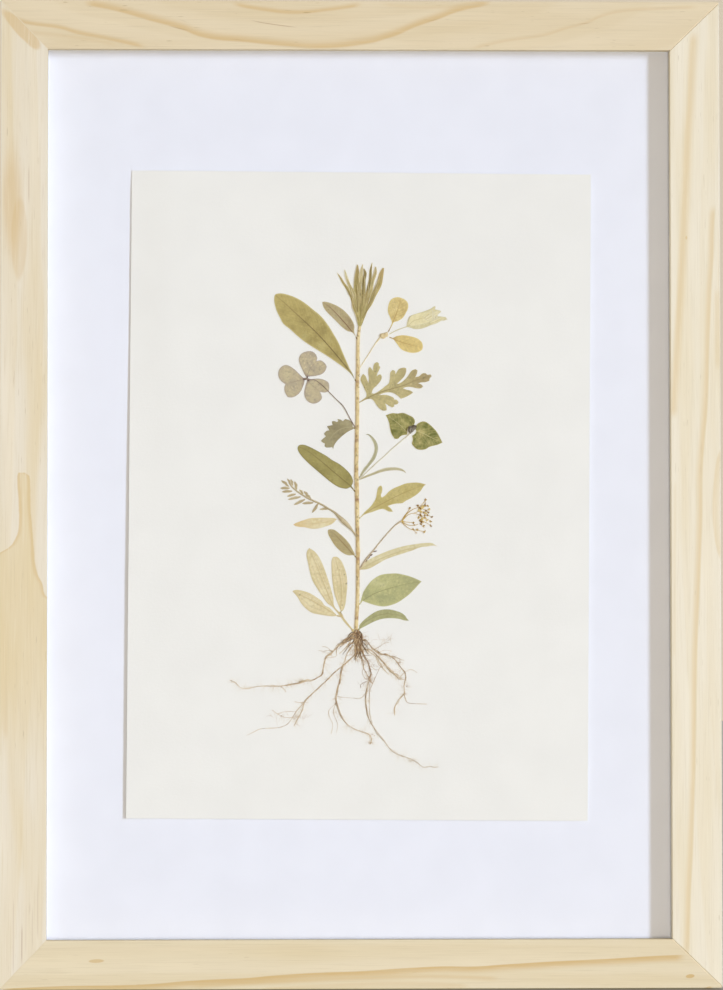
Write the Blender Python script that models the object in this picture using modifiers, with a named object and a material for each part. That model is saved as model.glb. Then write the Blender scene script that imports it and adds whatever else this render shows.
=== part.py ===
"""Pressed flower frame: a wooden picture frame with pressed plant pieces on a white sheet.

Metres, +Z up, the front of the frame faces -Y. The origin is the middle of the frame.
Leaves, stalks and roots are laid out in photo pixels, x to the right and y down, as
they were read off the picture. PIXEL is the size of one of them on the sheet.
"""
import math

import bmesh
import bpy

# Frame, in metres
OUTER_W = 0.3278
OUTER_H = 0.4492
DEPTH = 0.020
RAIL_LEFT = 0.0212
RAIL_RIGHT = 0.0229
RAIL_TOP = 0.0222
RAIL_BOTTOM = 0.0220
LIP = 0.0040            # wood in front of the glass
REBATE = 0.0080         # how far the rebate reaches under the lip
EASED = 0.0004          # rounding of the rails' edges
MITRE_GAP = 0.00021     # each rail's end stands back this far at a corner
GAP = 0.0003            # between pieces that touch

# Things in the rebate, cut for an A3 board
BOARD_W = 0.297
BOARD_H = 0.420
GLASS = 0.002
SPACER = 0.0031
SPACER_W = 0.006
CARD = 0.0015
PANEL = 0.003

# The A4 sheet and the smaller card that lifts it off the backing
SHEET_W = 0.2105
SHEET_H = 0.2960
SHEET = 0.0004
RISER_W = 0.190
RISER_H = 0.276
RISER = 0.0006
SHEET_TURN = math.radians(0.43)
SHEET_OFF = (0.0002, -0.0007)

# Fittings on the back
TAB = (0.009, 0.0005, 0.014)
HANGER_LONG = 0.042
HANGER_TALL = 0.009
HANGER_STEEL = 0.0008
HANGER_RISE = 0.0015
HANGER_Z = 0.175
TEETH = 8
TOOTH = 0.003

# Plant pieces
PIXEL = 0.0004573
MIDDLE = (358.7, 493.6)     # the photo pixel at the middle of the opening
LEAF = 0.0003               # thickness of a pressed leaf

front = -DEPTH / 2
glass_front = front + LIP + GAP
glass_back = glass_front + GLASS
spacer_front = glass_back + GAP
card_front = spacer_front + SPACER + GAP
card_back = card_front + CARD
panel_front = card_back + GAP
panel_back = panel_front + PANEL
sheet_back = card_front - GAP - RISER - GAP
sheet_front = sheet_back - SHEET

# The opening between the rails
open_left = -OUTER_W / 2 + RAIL_LEFT
open_right = OUTER_W / 2 - RAIL_RIGHT
open_top = OUTER_H / 2 - RAIL_TOP
open_bottom = -OUTER_H / 2 + RAIL_BOTTOM
open_x = (open_left + open_right) / 2
open_z = (open_top + open_bottom) / 2

for old in list(bpy.data.objects):
    bpy.data.objects.remove(old, do_unlink=True)

parts = bpy.data.collections.new("pressed_flower_frame")
cutters = bpy.data.collections.new("cutters")
bpy.context.scene.collection.children.link(parts)
bpy.context.scene.collection.children.link(cutters)


def material(name, colour, roughness=0.7, metallic=0.0):
    """One Principled material for one piece."""
    mat = bpy.data.materials.new(name)
    mat.use_nodes = True
    shader = mat.node_tree.nodes["Principled BSDF"]
    shader.inputs["Base Color"].default_value = (*colour, 1.0)
    shader.inputs["Roughness"].default_value = roughness
    shader.inputs["Metallic"].default_value = metallic
    mat.diffuse_color = (*colour, 1.0)
    return mat


def add(name, data, mat, home=parts):
    """Put new geometry in the scene as an object with its material."""
    obj = bpy.data.objects.new(name, data)
    home.objects.link(obj)
    if mat is not None:
        data.materials.append(mat)
    return obj


def box(name, size, centre, mat, home=parts):
    """A block with its real size in the mesh."""
    bm = bmesh.new()
    bmesh.ops.create_cube(bm, size=1.0)
    bmesh.ops.scale(bm, vec=size, verts=bm.verts)
    mesh = bpy.data.meshes.new(name)
    bm.to_mesh(mesh)
    bm.free()
    obj = add(name, mesh, mat, home)
    obj.location = centre
    return obj


def outline(name, points, thickness, mat, home=parts):
    """A flat piece: a filled 2D curve, standing in the XZ plane and facing -Y."""
    curve = bpy.data.curves.new(name, "CURVE")
    curve.dimensions = "2D"
    curve.fill_mode = "BOTH"
    curve.extrude = thickness / 2
    spline = curve.splines.new("POLY")
    spline.points.add(len(points) - 1)
    for point, (x, z) in zip(spline.points, points):
        point.co = (x, z, 0.0, 1.0)
    spline.use_cyclic_u = True
    obj = add(name, curve, mat, home)
    obj.rotation_euler = (math.pi / 2, 0.0, 0.0)
    return obj


def as_mesh(obj):
    """Turn a curve object into a welded mesh object, so that it can be cut."""
    bpy.context.view_layer.update()
    evaluated = obj.evaluated_get(bpy.context.evaluated_depsgraph_get())
    mesh = bpy.data.meshes.new_from_object(evaluated)
    bm = bmesh.new()
    bm.from_mesh(mesh)
    bmesh.ops.remove_doubles(bm, verts=bm.verts, dist=1e-6)
    bmesh.ops.recalc_face_normals(bm, faces=bm.faces)
    bm.to_mesh(mesh)
    bm.free()
    name, matrix, home = obj.name, obj.matrix_world.copy(), obj.users_collection[0]
    bpy.data.objects.remove(obj, do_unlink=True)
    mesh_obj = bpy.data.objects.new(name, mesh)
    home.objects.link(mesh_obj)
    mesh_obj.name = name
    mesh_obj.matrix_world = matrix
    return mesh_obj


def cut(obj, cutter):
    """Take a cutter's shape out of an object."""
    cutter.hide_render = True
    cutter.display_type = "WIRE"
    mod = obj.modifiers.new("cut", "BOOLEAN")
    mod.operation = "DIFFERENCE"
    mod.solver = "EXACT"
    mod.object = cutter


# The four rails, mitred at the corners and rebated behind the lip
pine = {
    "rail_top": material("pine_top", (0.74, 0.62, 0.44), 0.55),
    "rail_bottom": material("pine_bottom", (0.76, 0.66, 0.49), 0.55),
    "rail_left": material("pine_left", (0.79, 0.71, 0.55), 0.55),
    "rail_right": material("pine_right", (0.83, 0.76, 0.60), 0.55),
}
half_w, half_h, g = OUTER_W / 2, OUTER_H / 2, MITRE_GAP
rail_shapes = {
    "rail_top": [(-half_w + g, half_h), (half_w - g, half_h),
                 (open_right - g, open_top), (open_left + g, open_top)],
    "rail_bottom": [(-half_w + g, -half_h), (open_left + g, open_bottom),
                    (open_right - g, open_bottom), (half_w - g, -half_h)],
    "rail_left": [(-half_w, half_h - g), (open_left, open_top - g),
                  (open_left, open_bottom + g), (-half_w, -half_h + g)],
    "rail_right": [(half_w, half_h - g), (half_w, -half_h + g),
                   (open_right, open_bottom + g), (open_right, open_top - g)],
}
rebate_deep = DEPTH - LIP
rebate = box("rebate_cutter",
             (open_right - open_left + 2 * REBATE, 2 * rebate_deep,
              open_top - open_bottom + 2 * REBATE),
             (open_x, front + LIP + rebate_deep, open_z), None, cutters)
for name, corners in rail_shapes.items():
    rail = as_mesh(outline(name, corners, DEPTH, pine[name]))
    cut(rail, rebate)
    eased = rail.modifiers.new("eased_edges", "BEVEL")
    eased.width = EASED
    eased.segments = 1
    eased.limit_method = "ANGLE"
    eased.angle_limit = math.radians(40)

# Glass, spacers and boards in the rebate
clear = material("clear_glass", (0.93, 0.96, 0.95), 0.05)
white = material("white_card", (0.86, 0.86, 0.87), 0.9)
hardboard = material("hardboard", (0.36, 0.23, 0.13), 0.8)
box("glass_pane", (BOARD_W, GLASS, BOARD_H),
    (open_x, (glass_front + glass_back) / 2, open_z), clear)
spacer_y = spacer_front + SPACER / 2
side_x = (BOARD_W - SPACER_W) / 2
end_z = (BOARD_H - SPACER_W) / 2
end_long = BOARD_W - 2 * SPACER_W - 2 * GAP
for name, x, z, size in (
        ("spacer_left", -side_x, 0.0, (SPACER_W, SPACER, BOARD_H)),
        ("spacer_right", side_x, 0.0, (SPACER_W, SPACER, BOARD_H)),
        ("spacer_top", 0.0, end_z, (end_long, SPACER, SPACER_W)),
        ("spacer_bottom", 0.0, -end_z, (end_long, SPACER, SPACER_W))):
    box(name, size, (open_x + x, spacer_y, open_z + z), white)
box("backing_card", (BOARD_W, CARD, BOARD_H),
    (open_x, (card_front + card_back) / 2, open_z), white)
box("back_panel", (BOARD_W, PANEL, BOARD_H),
    (open_x, (panel_front + panel_back) / 2, open_z), hardboard)

# The sheet with the plant, lifted off the backing by a smaller card
paper = material("cotton_paper", (0.86, 0.84, 0.79), 0.95)
sheet_x, sheet_z = open_x + SHEET_OFF[0], open_z + SHEET_OFF[1]
riser = box("riser_card", (RISER_W, RISER, RISER_H),
            (sheet_x, card_front - GAP - RISER / 2, sheet_z), white)
sheet = box("specimen_sheet", (SHEET_W, SHEET, SHEET_H),
            (sheet_x, (sheet_front + sheet_back) / 2, sheet_z), paper)
riser.rotation_euler.y = sheet.rotation_euler.y = SHEET_TURN

# Spring steel tabs that hold the panel in, and the toothed hanger
steel = material("zinc_steel", (0.62, 0.62, 0.60), 0.35, 1.0)
tab_y = panel_back + GAP + TAB[1] / 2
tab_side = (open_right - open_left) / 2 + REBATE - GAP - TAB[0] / 2
tab_end = (open_top - open_bottom) / 2 + REBATE - GAP - TAB[0] / 2
TAB_UP = 0.115
for name, x, z, turn in (
        ("tab_left_upper", -tab_side, TAB_UP, 0.0),
        ("tab_left_lower", -tab_side, -TAB_UP, 0.0),
        ("tab_right_upper", tab_side, TAB_UP, 0.0),
        ("tab_right_lower", tab_side, -TAB_UP, 0.0),
        ("tab_top", 0.0, tab_end, math.pi / 2),
        ("tab_bottom", 0.0, -tab_end, math.pi / 2)):
    tab = box(name, TAB, (open_x + x, tab_y, open_z + z), steel)
    tab.rotation_euler.y = turn

arm, foot, bend = HANGER_LONG / 2, 0.015, 0.013
low, high, skin = 0.0, HANGER_RISE, HANGER_STEEL
strip = [(-arm, low), (-foot, low), (-bend, high), (bend, high), (foot, low), (arm, low),
         (arm, skin), (foot, skin), (bend, high + skin), (-bend, high + skin),
         (-foot, skin), (-arm, skin)]
hanger = outline("sawtooth_hanger", strip, HANGER_TALL, steel)
hanger.rotation_euler = (0.0, 0.0, 0.0)
hanger.location = (0.0, panel_back + GAP, HANGER_Z)
hanger = as_mesh(hanger)
first = -TEETH * TOOTH / 2
zigzag = [(first, -0.006)]
for i in range(TEETH):
    zigzag += [(first + i * TOOTH, -0.0044), (first + (i + 0.5) * TOOTH, -0.0028)]
zigzag += [(-first, -0.0044), (-first, -0.006)]
teeth = outline("teeth_cutter", zigzag, 0.012, None, cutters)
teeth.location = (0.0, panel_back, HANGER_Z)
cut(hanger, as_mesh(teeth))

# Everything pressed is hung from one empty in the middle of the opening, on the sheet
plant = bpy.data.objects.new("plant_place", None)
parts.objects.link(plant)
plant.location = (open_x, sheet_front, open_z)

greens = {
    "olive": (0.44, 0.38, 0.13), "green": (0.33, 0.32, 0.10), "moss": (0.40, 0.37, 0.16),
    "sage": (0.43, 0.40, 0.22), "light": (0.46, 0.44, 0.22), "straw": (0.70, 0.60, 0.34),
    "cream": (0.74, 0.66, 0.42), "gold": (0.68, 0.52, 0.21), "brown": (0.42, 0.33, 0.18),
    "mauve": (0.48, 0.40, 0.28), "lemon": (0.78, 0.74, 0.48), "root": (0.42, 0.31, 0.19),
    "stem": (0.66, 0.48, 0.22), "grey": (0.42, 0.37, 0.30),
}
tones = {name: material(name, colour, 0.8) for name, colour in greens.items()}


def on_sheet(points):
    """Photo pixels to metres from the middle of the opening."""
    return [((x - MIDDLE[0]) * PIXEL, (MIDDLE[1] - y) * PIXEL) for x, y in points]


def layer_lift(layer, half_thick):
    """How far a piece's middle stands off the sheet. Layers are a leaf and a gap apart."""
    return GAP + (layer - 1) * (LEAF + GAP) + half_thick


def leaf(name, tone, points, layer=1, thickness=LEAF):
    """A pressed leaf or petal, cut from its outline."""
    obj = outline(name, on_sheet(points), thickness, tones[tone])
    obj.parent = plant
    obj.location = (0.0, -layer_lift(layer, thickness / 2), 0.0)
    return obj


def stalk(name, tone, path, layer=1, flat=0.6):
    """A stalk or root: a tapering tube, pressed flat. The path is (x, y, half width)."""
    thickest = max(r for x, y, r in path) * PIXEL
    curve = bpy.data.curves.new(name, "CURVE")
    curve.dimensions = "3D"
    curve.bevel_depth = thickest
    curve.bevel_resolution = 1
    curve.use_fill_caps = True
    spline = curve.splines.new("POLY")
    spline.points.add(len(path) - 1)
    places = on_sheet([(x, y) for x, y, r in path])
    for point, (x, z), (px, py, r) in zip(spline.points, places, path):
        point.co = (x, z, 0.0, 1.0)
        point.radius = r * PIXEL / thickest
    obj = add(name, curve, tones[tone])
    obj.parent = plant
    obj.rotation_euler = (math.pi / 2, 0.0, 0.0)
    obj.scale = (1.0, 1.0, flat)
    obj.location = (0.0, -layer_lift(layer, thickest * flat), 0.0)
    return obj


stalk("main_stem", "stem", [
    (359.4, 324.4, 1.4), (358.0, 338, 1.6), (357.7, 355, 1.8), (357.6, 372, 1.9),
    (357.2, 385, 1.9), (357.0, 408, 1.9), (356.4, 430, 1.9), (356.1, 455, 2.0),
    (356.1, 480, 2.0), (356.8, 500, 1.9), (356.9, 528, 1.9), (357.4, 550, 1.9),
    (357.6, 572, 1.8), (356.8, 600, 1.8), (356.1, 616, 1.8), (355.6, 628.5, 1.7)], flat=0.5)

leaf("top_tuft", "moss", [
    (358.2, 323.2), (357, 316), (355.2, 309), (352.6, 302), (350, 296.5), (347.2, 290.5),
    (343.5, 283), (340, 277.5), (336.4, 272.6), (339.8, 275), (343.8, 279.8), (346.8, 284.5),
    (345.4, 277), (344.3, 269), (346.2, 270.5), (347.8, 276.5), (350, 281.5), (352.2, 285.5),
    (354.3, 290), (354.7, 283), (354.9, 274), (356, 267), (357.6, 264.2), (359.6, 267),
    (360.9, 268.4), (362.1, 264.6), (364, 267.5), (365.2, 271), (365, 279), (364.6, 284),
    (366, 287), (367.2, 282), (368.4, 275), (370, 268), (371.6, 262), (372.4, 267),
    (373.4, 271), (374.8, 267.5), (376.4, 266), (377, 268.4), (376.3, 273), (377, 276.5),
    (379, 271.5), (381.2, 267.8), (382.8, 266.7), (384.1, 268.8), (383.3, 276),
    (380.4, 285), (377, 293.5), (372.6, 303.3), (367.5, 311.3), (363.6, 318), (361.2, 323.2)],
    thickness=0.0006)

leaf("large_leaf", "olive", [
    (354.6, 379.4), (350.3, 373.6), (344.5, 368.5), (336.9, 362.8), (326.7, 355.8),
    (316.5, 349.4), (306.3, 343), (297.3, 336), (289.7, 329), (283.3, 323.9), (280.1, 318.2),
    (276.3, 310.5), (274.1, 302.2), (274, 297), (274.7, 294.6), (277.6, 293.4), (282, 293.3),
    (289, 295), (296.1, 297.8), (303.7, 302.2), (312.6, 309.2), (320.9, 316.3), (328, 325.2),
    (333.1, 333.5), (338.2, 342.4), (342, 351.3), (345.4, 359.2), (349.2, 367.9),
    (352.2, 373.5)])

leaf("small_brown_leaf", "brown", [
    (355.6, 336.8), (352, 332.4), (347.1, 330.9), (341.3, 326.5), (335.6, 320.7),
    (331.1, 316.3), (326, 311.1), (322.8, 306), (321.9, 301.9), (324.1, 301.4),
    (329.2, 302.5), (335.6, 305.1), (342, 308.9), (347.7, 314.3), (352.2, 320.7),
    (354.1, 325.8), (354, 331.4)])

stalk("sprig_stalk", "straw", [
    (361.0, 365.6, 0.6), (367.8, 355.1, 0.6), (373.5, 346.1, 0.7), (379.2, 338.4, 0.9),
    (380.9, 336.2, 2.2), (384.6, 335.2, 2.5), (386.4, 335.8, 1.4)])
leaf("sprig_leaflet_upper", "gold", [
    (387.6, 331.6), (391, 324.8), (391.6, 321.9), (389.8, 316.8), (387.8, 311.7),
    (388.2, 305.3), (390.7, 299.6), (395.8, 297), (400.9, 297.5), (405.4, 299.9),
    (407.9, 303.4), (407.9, 307.9), (406, 312.3), (402.8, 317.4), (398.4, 320.6),
    (393.6, 322.3), (392, 325.2), (388.3, 332)])
leaf("sprig_leaflet_lower", "gold", [
    (389.2, 336.6), (392.9, 337.7), (395.8, 336.2), (402.2, 335), (409.2, 335.9),
    (416.2, 337.8), (420.7, 341), (422.6, 344.8), (422, 349.3), (418.1, 351.9),
    (412.4, 352.8), (406, 351.5), (400.9, 349), (397.1, 344.2), (393.6, 339.6),
    (392.4, 338.7), (389.1, 337.5)])
leaf("flower", "lemon", [
    (389, 333.6), (395.8, 329.9), (406.4, 326), (407, 321.9), (409.8, 316.1), (416.2, 313.6),
    (423.9, 311), (430.3, 308.5), (434.1, 305.9), (435.7, 306.6), (434.2, 309),
    (439.8, 310.4), (440.8, 312), (436.9, 314), (437.6, 316), (444.3, 316.8),
    (446.8, 318.7), (444.3, 320.3), (438.5, 320.2), (436, 321.9), (430.3, 325.1),
    (422.6, 328.2), (415.6, 329), (410.5, 327.7), (406.8, 327), (396.2, 330.8),
    (389.4, 334.4)], thickness=0.0005)

leaf("lobed_leaf", "sage", [
    (359.8, 401.3), (362.6, 399.4), (365.8, 396.7), (366.1, 393.5), (364.8, 390.2),
    (362.6, 385.4), (360.4, 380.5), (360.7, 377.2), (362.9, 373.7), (365.3, 376.1),
    (366.7, 379.4), (368.2, 383), (368.7, 378.3), (368, 372.9), (368.3, 368.6),
    (369.6, 366.7), (371.3, 368.6), (372.9, 370.9), (373.2, 366.4), (374.5, 363.1),
    (377, 362), (378.8, 363.4), (378.8, 365.6), (380.2, 366.9), (379.1, 369.6),
    (377.2, 373.4), (376.5, 376.2), (378.8, 374.5), (380.7, 374.5), (381.6, 377.2),
    (380.5, 380.5), (376.7, 385.4), (372.9, 389.1), (371.4, 393.2), (374.5, 393.4),
    (379.9, 390.2), (385.4, 385.9), (388.6, 383.2), (389.7, 378.3), (390.2, 372.3),
    (392.4, 369.9), (394.6, 370.7), (395.6, 374), (398.4, 369.3), (402.7, 367.6),
    (405.9, 368), (405.9, 371.8), (403.8, 376.7), (400, 380.5), (396.7, 383.8),
    (399.4, 383.3), (403.8, 380.3), (407.6, 376.1), (411.4, 370.7), (415.2, 369),
    (417.3, 370.2), (416.8, 373.4), (415.2, 377.1), (419, 376.1), (422.2, 373.4),
    (425.5, 373.2), (427.1, 374.6), (430.3, 374.3), (431.7, 376.1), (429.3, 378.8),
    (429.3, 380.7), (425.5, 382.1), (421.1, 382.4), (418.1, 383.3), (421.7, 384.8),
    (422.8, 386.7), (420.6, 388.3), (416.8, 388.3), (411.4, 387.1), (406.5, 387),
    (402.7, 388.2), (406.5, 389.7), (410.8, 390.8), (413, 392.7), (409.2, 395.1),
    (404.9, 397.3), (400.5, 398.8), (397.3, 395.7), (392.4, 392.9), (387, 392.4),
    (382.1, 393.5), (379, 395), (385.4, 394.9), (389.7, 396), (393.5, 397.8),
    (394, 399.4), (396.7, 400), (398.4, 402.2), (397.3, 404.1), (394, 404.7),
    (394, 406.5), (391.9, 407.6), (388.1, 405.4), (384.9, 403.4), (386.2, 407),
    (386.4, 410.3), (383.2, 410.8), (379.4, 408.7), (376.1, 404.9), (373.4, 400.7),
    (370.2, 398.9), (365.8, 399.6), (362, 401.5), (359.9, 402.4)])

leaf("clover_leaflet_top", "mauve", [
    (306.2, 376.9), (304.8, 375.4), (302, 369.6), (299.3, 363.2), (298.8, 357.9),
    (301.1, 353.8), (305.8, 351.5), (311.1, 351.2), (315.2, 353.8), (316.9, 357.9),
    (316.4, 360.9), (320.5, 360.4), (324.6, 363.2), (326.6, 366.7), (324.6, 371.4),
    (321.1, 374.3), (315.8, 375.8), (309.9, 376.5)])
leaf("clover_leaflet_left", "mauve", [
    (304.6, 379.2), (300.5, 375.5), (295.2, 370.2), (290, 366.4), (285.3, 365),
    (280.6, 367.3), (278.2, 372), (278.5, 377.3), (281.2, 381.4), (285.1, 384.1),
    (284.1, 387.8), (285, 393.1), (287.6, 397.2), (291.7, 397.5), (296.4, 395.5),
    (300.5, 391.4), (302.9, 386.1), (304, 382.6)])
leaf("clover_leaflet_right", "mauve", [
    (306.9, 380.4), (304.9, 387.3), (304, 393.1), (305.2, 398.4), (308.7, 402.2),
    (313.4, 403.7), (318.1, 402.2), (321.6, 398.4), (321.1, 394.9), (319.9, 392),
    (325.2, 392.5), (328.7, 390.8), (329, 386.1), (328.1, 382.6), (324.6, 380.2),
    (319.3, 378.7), (313.4, 378.9)])
stalk("clover_stalk", "grey", [
    (304.6, 378.7, 0.8), (306.4, 379.0, 1.0), (308.4, 379.3, 0.6), (313.4, 379.7, 0.5),
    (317.5, 381.7, 0.5), (322.8, 386.1, 0.5), (328.7, 391.9, 0.5), (335.7, 399, 0.5),
    (342.8, 406, 0.6), (347.5, 414.2, 0.5), (351.2, 421.4, 0.6), (353.6, 425.2, 0.6)],
    layer=2)

leaf("serrated_leaf", "moss", [
    (353.6, 427.7), (352.3, 426.8), (352.2, 423.7), (350.3, 421.2), (347.1, 419.6),
    (344.8, 419.1), (342.7, 421.3), (340.1, 419.6), (337.2, 419.2), (338, 421.2),
    (336.6, 422.2), (334.3, 421.2), (331.8, 421.3), (331.8, 423.1), (332.4, 425.1),
    (329.9, 425.6), (326.7, 426.3), (327.9, 428.2), (329.1, 430.5), (326.3, 431),
    (323.6, 433.9), (325.6, 436.6), (323.5, 438.1), (320.6, 440.9), (322.8, 442.8),
    (324.5, 443.5), (324.3, 446.4), (326, 447.6), (329.9, 447.5), (331.8, 447.1),
    (332.9, 449.1), (333.7, 446), (335.9, 442.2), (339.1, 438.7), (342.6, 435.5),
    (346.4, 432.6), (349.6, 430.7), (352.8, 429.1)])

leaf("folded_leaf_left", "green", [
    (385.3, 415.3), (392, 413.2), (397.4, 413.5), (402.9, 412.9), (408.3, 415),
    (412.6, 417.4), (414.7, 421.1), (413.5, 425.3), (410.7, 426.2), (407.6, 428.6),
    (406.8, 431.7), (407.1, 434.5), (401, 435.9), (397.4, 438.9), (394.4, 438.9),
    (391.4, 434.1), (389.8, 428.6), (388.9, 423.2), (387.1, 418.3)])
leaf("folded_leaf_right", "green", [
    (415.7, 425.6), (419.2, 422.6), (423.5, 421.4), (427.7, 423.2), (432.6, 427.4),
    (436.8, 432.3), (439.8, 437.7), (442.2, 442.6), (436.8, 445), (429.5, 446.8),
    (424.7, 449.5), (417.4, 449.5), (413.8, 446.8), (411.7, 443.8), (412.6, 438.9),
    (411.7, 435.9), (415, 433.5), (416.2, 431.1), (415, 428.6)])
leaf("folded_leaf_stalk", "brown", [
    (360.6, 477.4), (375, 463.6), (392, 448), (408.2, 434.4), (407.2, 432.2),
    (407.2, 429.2), (409, 426.6), (412, 425.6), (414.6, 424.8), (416.2, 426.6),
    (415.4, 429.4), (415.9, 431.6), (413.2, 433), (411, 434.8), (409, 435.5),
    (392.7, 448.9), (375.8, 464.4), (361.3, 478.2)], layer=2)
leaf("curved_leaf_upper", "sage", [
    (359.6, 475.2), (362.9, 469.2), (367.7, 463.2), (372, 456.5), (374.1, 450.4),
    (373.8, 445), (371.4, 439.5), (368.3, 435.5), (365, 434.4), (368.3, 434.1),
    (372.6, 437.1), (376.2, 442), (377.7, 447.4), (376.8, 453.5), (374.4, 459.5),
    (369.5, 465.6), (364.1, 472.3), (361.1, 476.4)])
leaf("curved_leaf_lower", "sage", [
    (359.7, 478.9), (364.7, 475.9), (372, 472.9), (379.2, 469.8), (386.5, 467.7),
    (395, 467.4), (401.7, 468.9), (404.7, 471.2), (405.9, 473.5), (402.9, 471.6),
    (397.4, 470.4), (388.9, 470.7), (381.1, 472.3), (373.2, 475), (365.9, 477.7),
    (360.5, 479.6)])

leaf("oval_leaf", "green", [
    (353.2, 490.4), (350, 487.2), (346.5, 488.7), (341.9, 488.3), (336.8, 486.4),
    (331.3, 482.8), (324.9, 477.7), (318.5, 472.2), (312, 466.7), (306.1, 461.2),
    (301, 455.7), (298.3, 451.5), (297.3, 448.8), (297.8, 446.5), (300.1, 444.9),
    (303.8, 444.9), (308.4, 446.5), (313.9, 449.2), (319.8, 452.4), (326.3, 456.1),
    (332.2, 460.3), (338.7, 463.9), (345.1, 469), (349.7, 474), (352.2, 478.6),
    (352.7, 482.3), (351.2, 486), (353.4, 489.5)])

leaf("needle_sprig", "sage", [
    (354.3, 535), (351, 531), (347.2, 527.2), (343, 524.6), (339, 520.6), (336.5, 515.6),
    (330.4, 511), (326.6, 510.3), (319, 509.6), (325.8, 508.5), (322.5, 506.2),
    (319.4, 505.3), (316, 509.2), (311.6, 513.2), (313.4, 508.8), (315.6, 504.9),
    (310, 504.6), (305.6, 504.3), (301.6, 503.6), (305.4, 502.4), (308.4, 500.7),
    (303.2, 501.6), (297.5, 503.4), (293.4, 505.2), (296.5, 502), (302.6, 498.5),
    (300.4, 497.8), (293.4, 499.9), (287.5, 500), (291.5, 498), (298.2, 495.7),
    (296, 494.8), (291.5, 496.4), (286.5, 497), (289.6, 494.8), (293.6, 492.8),
    (291.9, 492.4), (286.5, 493), (281.5, 492), (285.5, 490.8), (290.3, 490),
    (289.2, 489.3), (284, 489.2), (279.8, 488.5), (284, 487.4), (288, 487.1),
    (283.6, 483.8), (280.7, 480.2), (284.8, 481.7), (288.4, 484.4), (287, 478.5),
    (289.5, 481.4), (290.6, 479), (292.4, 482.4), (293.8, 485.6), (295.2, 486.8),
    (294.2, 481.2), (296.4, 484.4), (297.2, 489), (298.4, 490.8), (299, 489.4),
    (301.4, 491.6), (303, 493.8), (303.5, 491), (306.2, 493.4), (308, 496.4),
    (310.2, 498.3), (314, 499.6), (320.5, 502.6), (329.5, 507.8), (337, 512.8),
    (342.8, 518.3), (348.6, 523.6), (351.8, 528.6), (354.4, 532.6)])

leaf("straw_leaf", "straw", [
    (336.6, 519.2), (331.7, 524), (325.3, 526.5), (318.4, 528.4), (312.5, 528.9),
    (308.1, 528.2), (303.7, 527.2), (298.3, 526.9), (295.3, 526), (292.9, 524.5),
    (297.3, 522.3), (303.7, 520.1), (309.6, 518.3), (316.9, 517.8), (326.7, 517.8),
    (333.4, 518.1)])

leaf("small_oval_leaf", "moss", [
    (354.6, 556.4), (352.8, 555.3), (347.9, 555.3), (343, 553.2), (338.5, 549.8),
    (334.1, 544.9), (330.7, 539.5), (328.2, 535), (327.4, 531.1), (328.2, 529.6),
    (330.7, 529.2), (334.1, 529.9), (338, 532.6), (342.5, 536.5), (346.4, 540.5),
    (349.8, 544.9), (352.3, 549.8), (354.2, 553.6)])

leaf("halberd_leaf", "light", [
    (359.7, 517.4), (364.6, 511.8), (369.8, 507), (373.2, 502.7), (375.6, 498),
    (376.5, 493.2), (377.5, 488.4), (379.4, 486), (381.1, 485.8), (382, 487.9),
    (381.8, 491.3), (380.6, 495.6), (381.5, 497.7), (384.7, 495.6), (388.5, 491.7),
    (393.3, 488.4), (399, 486), (405.2, 483.6), (411.4, 482.7), (417.2, 482.6),
    (422, 483.5), (425.6, 484.6), (422.9, 487), (420.5, 490.8), (415.7, 495.1),
    (410.5, 498.4), (405.7, 500.8), (401.9, 503.2), (396.1, 503.7), (391.3, 504.7),
    (387.5, 506.1), (390.4, 508.5), (392.8, 511.8), (388.5, 511.6), (384.7, 509.6),
    (381.8, 509), (376.5, 510.4), (371.3, 512.3), (366.5, 513.7), (363.1, 515.4),
    (359.9, 518.2)])

stalk("umbel_stalk", "brown", [
    (361.6, 565.6, 0.9), (365.3, 560, 1.1), (368.2, 556.4, 1.5), (369.9, 554.2, 0.8),
    (373.9, 549.7, 0.7), (379.7, 542.2, 0.6), (386, 534.8, 0.7), (392.3, 527.9, 0.7),
    (396.9, 523.9, 0.9), (400.2, 521.6, 1.2)], layer=2)
leaf("umbel_head", "brown", [
    (402.2, 521.2), (403.2, 517.4), (406.2, 512.6), (408.4, 509.2), (408, 507),
    (409.6, 506), (411, 507.4), (410.2, 509.4), (407.4, 513), (412, 509), (416.8, 507),
    (416.8, 504.4), (418.6, 504.6), (420.4, 506.8), (423.2, 504.6), (424.6, 501.4),
    (424, 499.2), (425.6, 498.3), (426.8, 500), (425.8, 502.4), (427.4, 504.6),
    (429.8, 505), (430, 506.4), (428.4, 508), (429.6, 511), (429.2, 514.2), (427.6, 516.2),
    (430.6, 516.4), (432.4, 515.6), (433.2, 517.4), (431.2, 518.6), (427.4, 518),
    (430.2, 520.2), (431.5, 521.4), (430, 523), (431.8, 525.6), (430.8, 527),
    (428.6, 525), (425.2, 520), (424.4, 523.4), (424.6, 526.2), (422.8, 527.2),
    (421.2, 525.4), (419.4, 524.8), (419.6, 520.8), (418.2, 516.8), (418.4, 512.4),
    (416.8, 508.8), (412.6, 510.2), (409, 513.3), (413, 512.8), (417, 513.9), (416.8, 514.8),
    (413, 513.9), (408.6, 515.4), (404.9, 519.2), (405.2, 521.3), (409.6, 522),
    (412.8, 521.5), (414.2, 522.7), (413.2, 524), (409.6, 523), (405.4, 522.5),
    (408.8, 524.6), (413, 525), (416.8, 524.2), (417, 525.2), (413, 526.1), (408.4, 525.8),
    (406.4, 525.4), (410.8, 528.2), (413.2, 528.4), (414.8, 529.4), (417.6, 528.9),
    (420, 530.4), (424, 530.4), (425.2, 531.8), (424.2, 533.4), (421, 531.8),
    (417.2, 531.2), (413.2, 531.2), (410.2, 529.5), (406.6, 527.8), (403.4, 524.4)],
    thickness=0.0007)

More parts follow.
